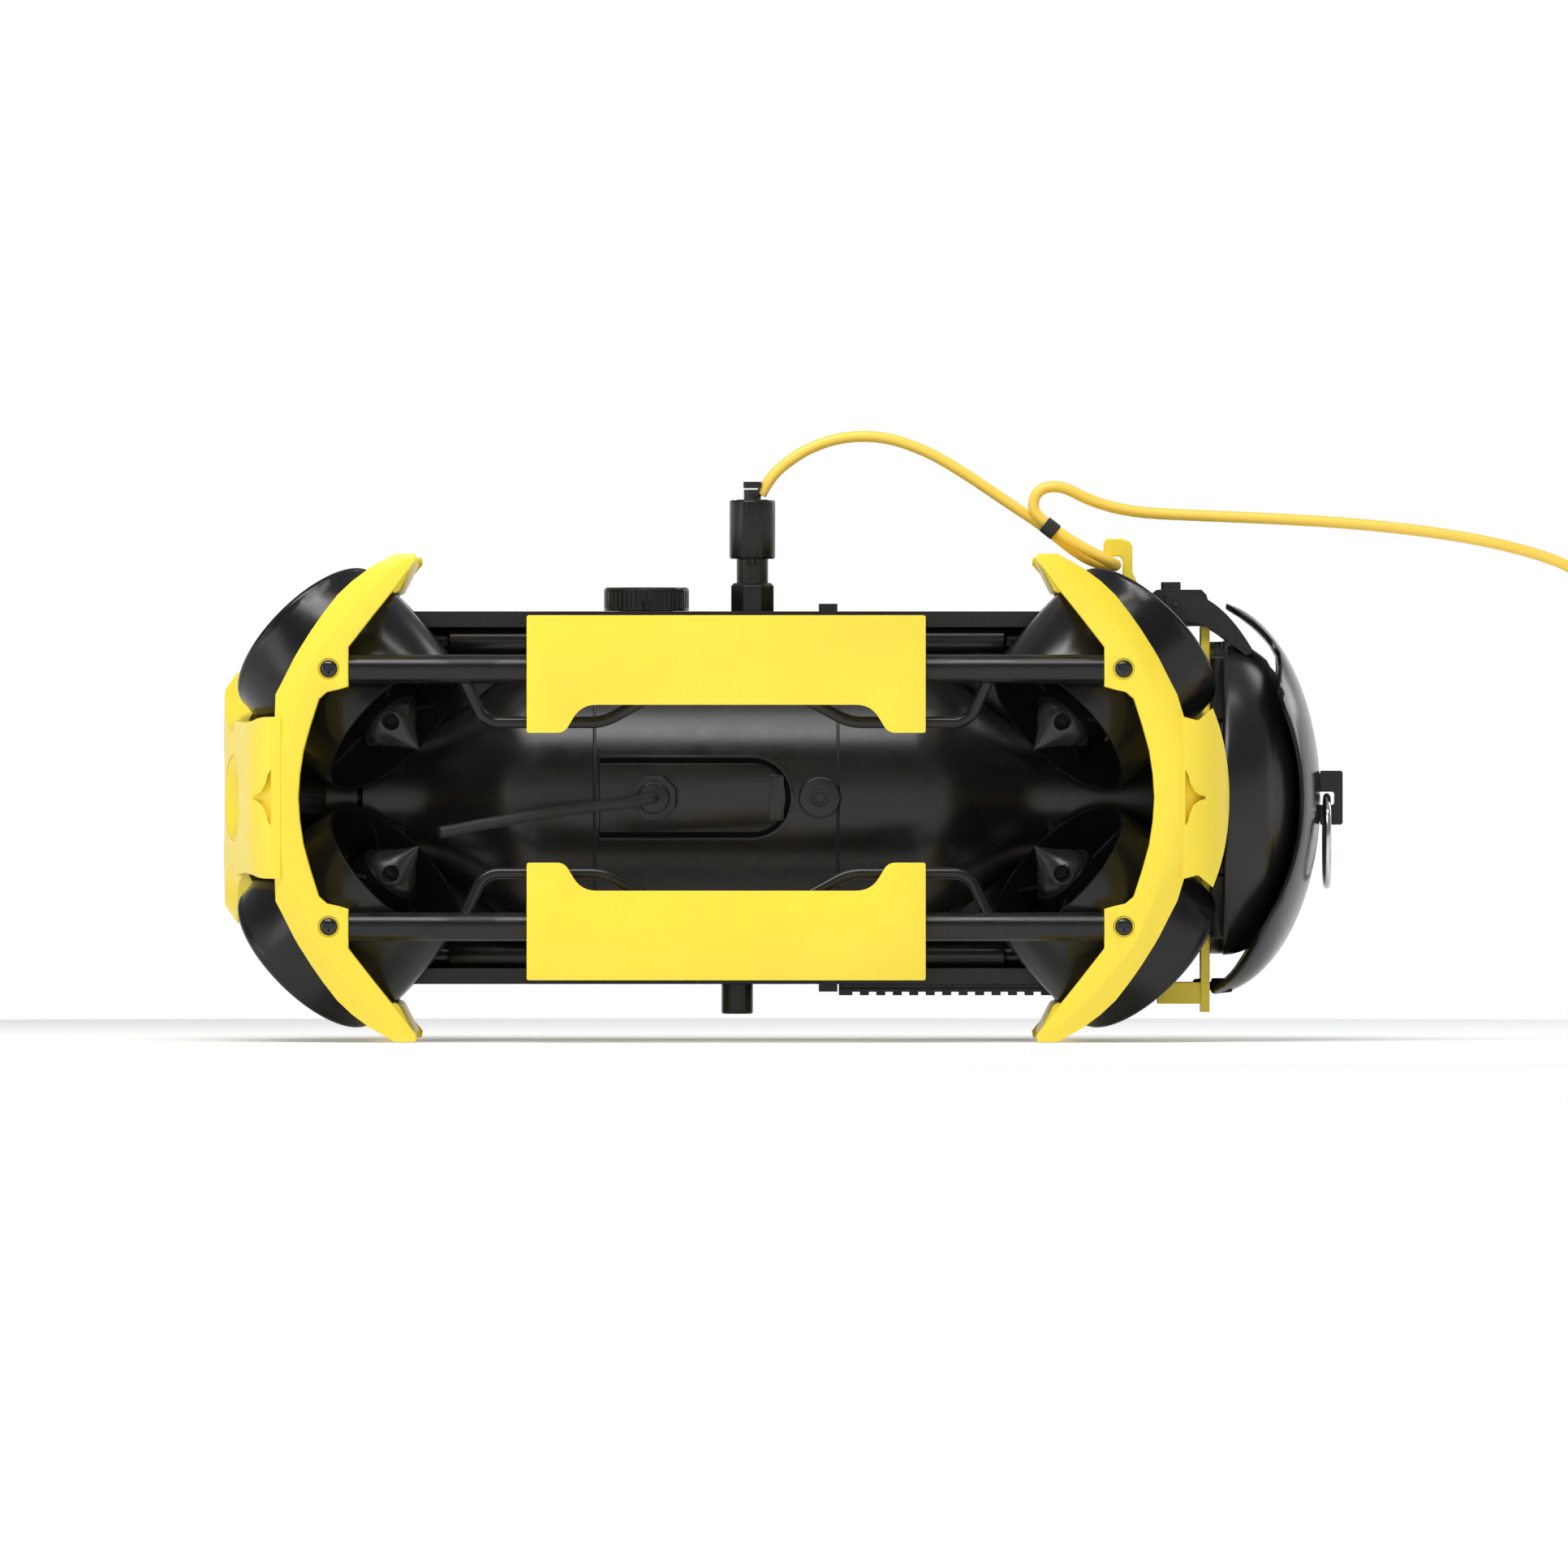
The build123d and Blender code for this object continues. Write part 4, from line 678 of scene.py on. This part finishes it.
# (angle from the tail's tip in degrees, half-width): upper fin, wide bowl, lower foot.
GUARD_BAND = [
    (81.0, 5.0), (79.5, 14.0), (76.0, 20.5), (70.0, 25.0), (62.0, 26.0), (54.0, 26.0),
    (49.5, 30.0), (46.5, 44.0), (44.0, 60.0), (41.0, 68.0), (34.0, 70.0), (24.0, 68.5),
    (12.0, 66.5), (0.0, 66.0), (-12.0, 66.0), (-24.0, 68.0), (-36.0, 69.5), (-48.0, 69.5),
    (-56.0, 67.0), (-64.0, 60.5), (-71.0, 52.0), (-77.0, 42.0), (-82.0, 33.0), (-85.5, 25.0),
    (-87.4, 21.0),
]


def guard_shell():
    rows, columns = [], 20
    for k in range(len(GUARD_BAND) - 1):
        (t0, w0), (t1, w1) = GUARD_BAND[k], GUARD_BAND[k + 1]
        steps = 2 if abs(t1 - t0) > 5 else 1
        for j in range(steps):
            share = j / steps
            rows.append((t0 + (t1 - t0) * share, w0 + (w1 - w0) * share))
    rows.append(GUARD_BAND[-1])
    bm = bmesh.new()
    skins = []
    for shrink in (0.0, SHELL_T):
        a, b = SHELL_A - shrink, SHELL_B - shrink
        skin = []
        for turn, half in rows:
            line = []
            for c in range(columns + 1):
                y = half * (2 * c / columns - 1)
                lean = math.sqrt(max(0.0, 1 - (y / SHELL_B) ** 2))
                angle = math.radians(turn)
                line.append(bm.verts.new((SHELL_X + a * lean * math.cos(angle),
                                          y, MID_Z + b * lean * math.sin(angle))))
            skin.append(line)
        skins.append(skin)
    outer, inner = skins
    for skin in skins:
        for low, high in zip(skin, skin[1:]):
            for c in range(columns):
                bm.faces.new((low[c], low[c + 1], high[c + 1], high[c]))
    for c in range(columns):
        for row in (0, -1):
            bm.faces.new((outer[row][c], outer[row][c + 1], inner[row][c + 1], inner[row][c]))
    for k in range(len(rows) - 1):
        for c in (0, -1):
            bm.faces.new((outer[k][c], outer[k + 1][c], inner[k + 1][c], inner[k][c]))
    shell = link_mesh("tail_guard_shell", bm, 0.9, 3, 40.0)
    foot = side_prism("foot", round_corners([(260.2, -109.6), (273, -109.6), (273, -118.0),
                                             (260.2, -119.0)], 1.5, 3), -11, 11)
    foot = cut_away(foot, [lathe("hole", [(-2, 0), (-2, 3.1), (9, 3.1), (9, 0)],
                                 (260, 0, MID_Z + BOLT_Z), (1, 0, 0), 24)], 0.7)
    finish_piece(joined("tail_guard_piece", [shell, foot], 40), "duct_black",
                 nodes=("tail_guard",), material=MATERIAL["guard_black"])


guard_shell()

DOME_X, DOME_A, DOME_R = 266.9, 56.0, 95.5


def dome_pieces():
    outline = []
    for k in range(29):
        a = math.radians(90 * k / 28)
        x, r = DOME_X + DOME_A * math.sin(a), DOME_R * math.cos(a)
        step = 0.0 if r > 82 else 1.3
        outline.append((x - SHELL_X - step * math.sin(a), max(0.0, r - step * math.cos(a))))
    outline[0] = (DOME_X - SHELL_X, DOME_R - 0.2)
    profile = outline + [(DOME_X - SHELL_X + 6, 0), (2, 0), (0, 4), (0, 61.5),
                         (DOME_X - SHELL_X, 61.5)]
    dome = lathe("dome", profile, (SHELL_X, 0, MID_Z), (1, 0, 0), 128, bevel=0.6)
    parts = [dome]
    for up in (-1, 1):
        arc = []
        for k in range(13):
            y = -41.5 + 83 * k / 12
            arc.append((y, up * math.sqrt(94.8 ** 2 - y * y)))
        for k in range(12, -1, -1):
            y = -41.5 + 83 * k / 12
            arc.append((y, up * math.sqrt(63 ** 2 - y * y)))
        parts.append(prism("rim", [(y, z + MID_Z) for y, z in arc], SHELL_X + 0.1,
                           DOME_X + 0.5, (0, 1, 0), (0, 0, 1), (1, 0, 0), bevel=0.8))
    finish_piece(joined("tail_dome_piece", parts, 30), "hull_black", nodes=("tail_dome",))


dome_pieces()


# ---------------------------------------------------------------- screws, pin and bolt
def screws():
    parts = []
    for end in (-1, 1):
        for side in (-1, 1):
            for up in (-1, 1):
                centre = Vector((MID_X + end * SCREW_U, side * (ARM_FACE - 1.6),
                                 MID_Z + up * SCREW_Z))
                out = Vector((0, side, 0))
                head = lathe("head", [(0.05, 0), (0.05, 5.0), (0.7, 5.1), (1.5, 4.3), (2.2, 2.9),
                                      (2.5, 0)], centre, out, 36)
                cutters = []
                for turn in (0.0, 90.0):
                    a = math.radians(turn)
                    along = Vector((math.cos(a), 0, math.sin(a)))
                    wide = Vector((-math.sin(a), 0, math.cos(a)))
                    rings = [[centre + out * t + along * p + wide * q for p, q in
                              ((-3.2, -0.6), (3.2, -0.6), (3.2, 0.6), (-3.2, 0.6))]
                             for t in (0.5, 4.0)]
                    cutters.append(solid("cross", rings))
                parts.append(cut_away(head, cutters, 0.12))
    parts.append(lathe("pin", [(-35.6, 0), (-35.6, 1.5), (-35.2, 1.88), (35.2, 1.88),
                               (35.6, 1.5), (35.6, 0)],
                       (PIN_X, 0, MID_Z + PIN_Z), (0, 1, 0), 32))
    parts.append(lathe("bolt", [(-4.6, 0), (-4.6, 3.4), (-3.6, 4.6), (0, 5.0), (0, 2.9),
                                (13.0, 2.9), (13.0, 0)], (253.6, 0, MID_Z + BOLT_Z), (1, 0, 0), 6,
                       bevel=0.3))
    finish_piece(joined("fasteners_piece", parts, 30), "screw_black", nodes=("fasteners",))


screws()

# ---------------------------------------------------------------- hull details
HULL_R, PAD_ROWS = 80.0, 24
# (x, distance of the plug's face from the middle plane)
PLUG_PLACES = [(-123.1, 78.2), (45.0, 77.9), (-244.8, 37.5)]


def on_hull(x, s, r):
    """Point at arc length s below or above the port side line, at radius r."""
    a = s / HULL_R
    return (x, -r * math.cos(a), MID_Z + r * math.sin(a))


def hull_pad(name, x0, x1, half, corner, low, high, right_only=True, bevel=0.0):
    """Pad bent round the hull with rounded ends, from radius low to radius high."""
    slices = []
    for k in range(PAD_ROWS + 1):
        t = -math.cos(math.pi * k / PAD_ROWS)
        s = half * t
        over = max(0.0, abs(s) - (half - corner))
        inset = corner - math.sqrt(max(0.0, corner ** 2 - over ** 2))
        left = x0 if right_only else x0 + inset
        right = x1 - inset
        if right - left < 0.3:
            right = left + 0.3
        slices.append([on_hull(left, s, low), on_hull(right, s, low),
                       on_hull(right, s, high), on_hull(left, s, high)])
    return solid(name, slices, bevel=bevel, sharp=36)


rim = hull_pad("hatch_rim", -111.0, 6.5, 25.5, 25.3, HULL_R, HULL_R + 2.2)
window = hull_pad("window", -112.0, 4.9, 23.9, 23.7, HULL_R - 2.0, HULL_R + 6.0)
rim = cut_away(rim, [window], 0.55)
panel = hull_pad("hatch_panel", -110.6, 1.6, 20.4, 19.5, HULL_R, HULL_R + 2.4, bevel=0.8)
latch_pad = hull_pad("hatch_latch", -8.2, 0.6, 13.4, 1.5, HULL_R + 1.0, HULL_R + 2.9,
                     right_only=False, bevel=0.3)
finish_piece(joined("hatch_cover_piece", [rim, panel, latch_pad], 36), "hull_black",
             nodes=("hatch_cover",))
# Near-black thin sheet on the floor of the hatch recess: painted shade of the groove between rim
# and panel.
groove = hull_pad("hatch_groove_shade", -111.0, 5.4, 24.3, 24.1, HULL_R, HULL_R + 0.12)
finish_piece(groove, "rubber_black", material=MATERIAL["groove_painted_shade"])
plug_ring = [(-1.0, 2.4), (0.25, 2.4), (0.25, 3.1), (-1.0, 3.1)]
plug_face = [(-1.0, 0), (0.15, 0), (0.15, 2.2), (-1.0, 2.2)]
plugs = [lathe("plug", profile, (x, -reach, MID_Z), (0, -1, 0), 40)
         for profile in (plug_ring, plug_face) for x, reach in PLUG_PLACES]
finish_piece(joined("hull_screw_plugs", plugs, 36), "hull_black")

# ---------------------------------------------------------------- neck rings and spine rods
neck = lathe("neck_rings", [
    (0, 8.0), (0, 12.5), (7.0, 12.5), (7.6, 16.0), (9.4, 16.4), (9.9, 13.2), (11.4, 13.2),
    (11.9, 16.4), (13.7, 16.4), (14.3, 14.2), (17.4, 14.2), (18.2, 15.4), (21.5, 15.4),
    (21.5, 8.0)], (-277.2, 0, MID_Z), (1, 0, 0), 72, bevel=0.3)
finish_piece(neck, "hull_black")
ROD_U, ROD_Y, ROD_Z = 161.0, 16.6, 96.4
rods = []
for end in (-1, 1):
    for side in (-1, 1):
        for up in (-1, 1):
            rods.append(lathe("rod", [(0, 0), (0, 6.6), (1, 7.2), (31, 7.2), (32, 6.6), (32, 0)],
                              (MID_X + end * ROD_U, side * ROD_Y, MID_Z + up * ROD_Z),
                              (end, 0, 0), 40))
finish_piece(joined("spine_rod_ends", rods, 36), "frame_black")
rails = node_copy("spine_rails_piece", ["spine_rails"])
posts, bars, brackets = [], [], []
POST_OUT = [(186.0, 113.1), (186.0, 136.0), (198.0, 136.0), (198.0, 113.1)]
BRACKET = [(186, 104), (186, 112.9), (198.6, 112.9), (199.2, 126.0), (206, 128.0), (206.5, 113),
           (198, 104)]
CROSSBAR = [(188.6, 142.5), (197.4, 124.8), (200.5, 123.4), (206, 126), (212, 134), (212, 138),
            (200, 145.6), (190, 145.6)]
for end in (-1, 1):
    for up in (-1, 1):
        place = [[(MID_X + end * u, up * z) for u, z in outline]
                 for outline in (POST_OUT, BRACKET, CROSSBAR)]
        posts.append(side_prism("post", place[0], -24, 24))
        bars.append(side_prism("bar", place[2], -127, 127, bevel=1.0))
        for side in (-1, 1):
            brackets.append(side_prism("bracket", place[1], side * 12, side * 20, bevel=0.8))
cut_away(rails, posts, 0.6, 32.0, 2)
finish_piece(rails, "frame_black", nodes=("spine_rails",))
finish_piece(joined("spine_end_brackets", brackets, 36), "frame_black")
finish_piece(joined("crossbars_piece", bars, 36), "bumper_yellow", nodes=("crossbars",))
webs = []
for end in (-1, 1):
    for up in (-1, 1):
        outline = [(84, 76.0), (84, 100.0), (176, 100.0), (176, 40.0), (156, 40.0), (120, 56.0)]
        outline = [(MID_X + end * u, up * z) for u, z in outline]
        webs.append(side_prism("web", round_corners(outline, 4.0, 4), -2.5, 2.5, bevel=0.5))
finish_piece(joined("spine_webs", webs, 36), "frame_black")

# ---------------------------------------------------------------- motors with a hole in each cone
OUTLET_U, OUTLET_Y, OUTLET_Z = 200.3, 83.6, 43.5  # from the middle, to the side, off the axis
THRUST_ALONG, THRUST_ACROSS = 0.654, 0.38
THRUSTERS = [(end, side, up) for end in (-1, 1) for up in (-1, 1) for side in (-1, 1)]


def thruster_frame(end, side, up):
    """Outlet centre and the direction from outlet to inlet."""
    outlet = Vector((MID_X + end * OUTLET_U, side * OUTLET_Y, MID_Z + up * OUTLET_Z))
    way = Vector((end * THRUST_ALONG, -side * THRUST_ACROSS, up * THRUST_ALONG))
    return outlet, way.normalized()


motors = node_copy("thruster_motors_piece", ["thruster_motors"])
holes = []
for end, side, up in THRUSTERS:
    outlet, axis = thruster_frame(end, side, up)
    centre = outlet - axis * 1.5
    out = (Vector((0, side, 0)) - axis * axis.dot(Vector((0, side, 0)))).normalized()
    holes.append(lathe("hole", [(5.0, 0), (5.0, 5.0), (30, 5.0), (30, 0)], centre,
                       out, 40))
cut_away(motors, holes, 0.4, 30.0, 2)
finish_piece(motors, "motor_dark", nodes=("thruster_motors",))


# ---------------------------------------------------------------- side grips
def grip(name, side, node):
    parts = []
    for up in (-1, 1):
        corners = [(-154.2, 109.9), (-154.2, 39.1), (-131.5, 39.1), (-121.5, 56.0),
                   (53.3, 56.0), (63.3, 39.1), (86.0, 39.1), (86.0, 109.9)]
        radii = [1.6, 1.6, 8.0, 16.0, 16.0, 8.0, 1.6, 1.6]
        outline = [(x, up * z) for x, z in round_corners(corners, radii, 6)]
        plate = side_prism("grip", outline, side * 130.1, side * 147.0)
        groove = lathe("groove", [(-1, 0), (-1, 8.9), (260, 8.9), (260, 0)],
                       (-164.0, side * 129.0, MID_Z + up * TUBE_Z), (1, 0, 0), 48)
        parts.append(cut_away(plate, [groove], 2.0, 30.0, 4))
    finish_piece(joined(name, parts, 40), "bumper_yellow", nodes=(node,))


grip("side_grips_port_piece", -1, "side_grips_port")
grip("side_grips_starboard_piece", 1, "side_grips_starboard")

# ---------------------------------------------------------------- tether hook
hook_outline = [(194.8, 144.0), (194.8, 155.2), (196.6, 157.4), (205.5, 157.4), (210.4, 156.0),
                (212.4, 152.6), (212.4, 137.0), (223.9, 112.0), (223.9, 107.0), (212.0, 107.0),
                (206.4, 125.0), (206.4, 144.4), (204.6, 146.6), (199.6, 146.6), (197.8, 144.8),
                (197.2, 143.7)]
hook = side_prism("tether_hook_piece", hook_outline, -3.1, 3.1, bevel=0.9, segments=3)
finish_piece(hook, "bumper_yellow", nodes=("tether_hook",))

# ---------------------------------------------------------------- parts that keep their plain shape
for node, slot, bevel in (
    ("hull_center", "hull_black", 0.5), ("hull_front_cone", "hull_black", 0.5),
    ("hull_rear_cone", "hull_black", 0.5), ("vent_plug", "hull_black", 0.5),
    ("cable_gland", "hull_black", 0.4),
    ("accessory_rail", "frame_black", 0.5), ("bottom_plug", "frame_black", 0.5),
    ("charge_cap", "frame_black", 0.6), ("side_tubes", "frame_black", 0.4),
    ("tail_plate", "bumper_yellow", 1.0), ("tow_boss", "frame_black", 0.8),
    ("latch_bracket", "frame_black", 0.6), ("latch_button", "frame_black", 0.5),
    ("latch_arm", "frame_black", 0.7),
    ("tether_socket", "frame_black", 0.5), ("tether_plug", "frame_black", 0.4),
    ("tether_sleeve", "frame_black", 0.6), ("tether_tie", "rubber_black", 0.5),
    ("tether_end_plug", "rubber_black", 0.5), ("camera_unit", "frame_black", 0.5),
):
    from_node(node, slot, bevel)
for end in ("front", "rear"):
    for level in ("upper", "lower"):
        for side in ("port", "starboard"):
            place = f"{end}_{level}_{side}"
            from_node("duct_" + place, "duct_black", 0.5)
            from_node("propeller_" + place, "propeller_grey", 0.35)
for node, slot in (
    ("hull_seals", "rubber_black"), ("battery_pack", "battery_blue"),
    ("electronics_tray", "board_green"), ("thruster_cable", "rubber_black"),
    ("camera_window", "lens_clear"), ("tow_ring", "ring_steel"),
):
    plain_node(node, slot)

# ---------------------------------------------------------------- floor
floor_mesh = bmesh.new()
bmesh.ops.create_circle(floor_mesh, cap_ends=True, segments=96, radius=1500.0)
floor = link_mesh("floor", floor_mesh)
floor_paint = surface("floor_pale", (0.90, 0.90, 0.90), 0.75, grain=120.0, tint=0.01,
                      depth=0.00005, edge=0.001)
glow = floor_paint.node_tree.nodes["Principled BSDF"]
glow.inputs["Emission Color"].default_value = (1, 1, 1, 1)
glow.inputs["Emission Strength"].default_value = 0.21
floor.data.materials.append(floor_paint)
floor.location.z = -0.0005
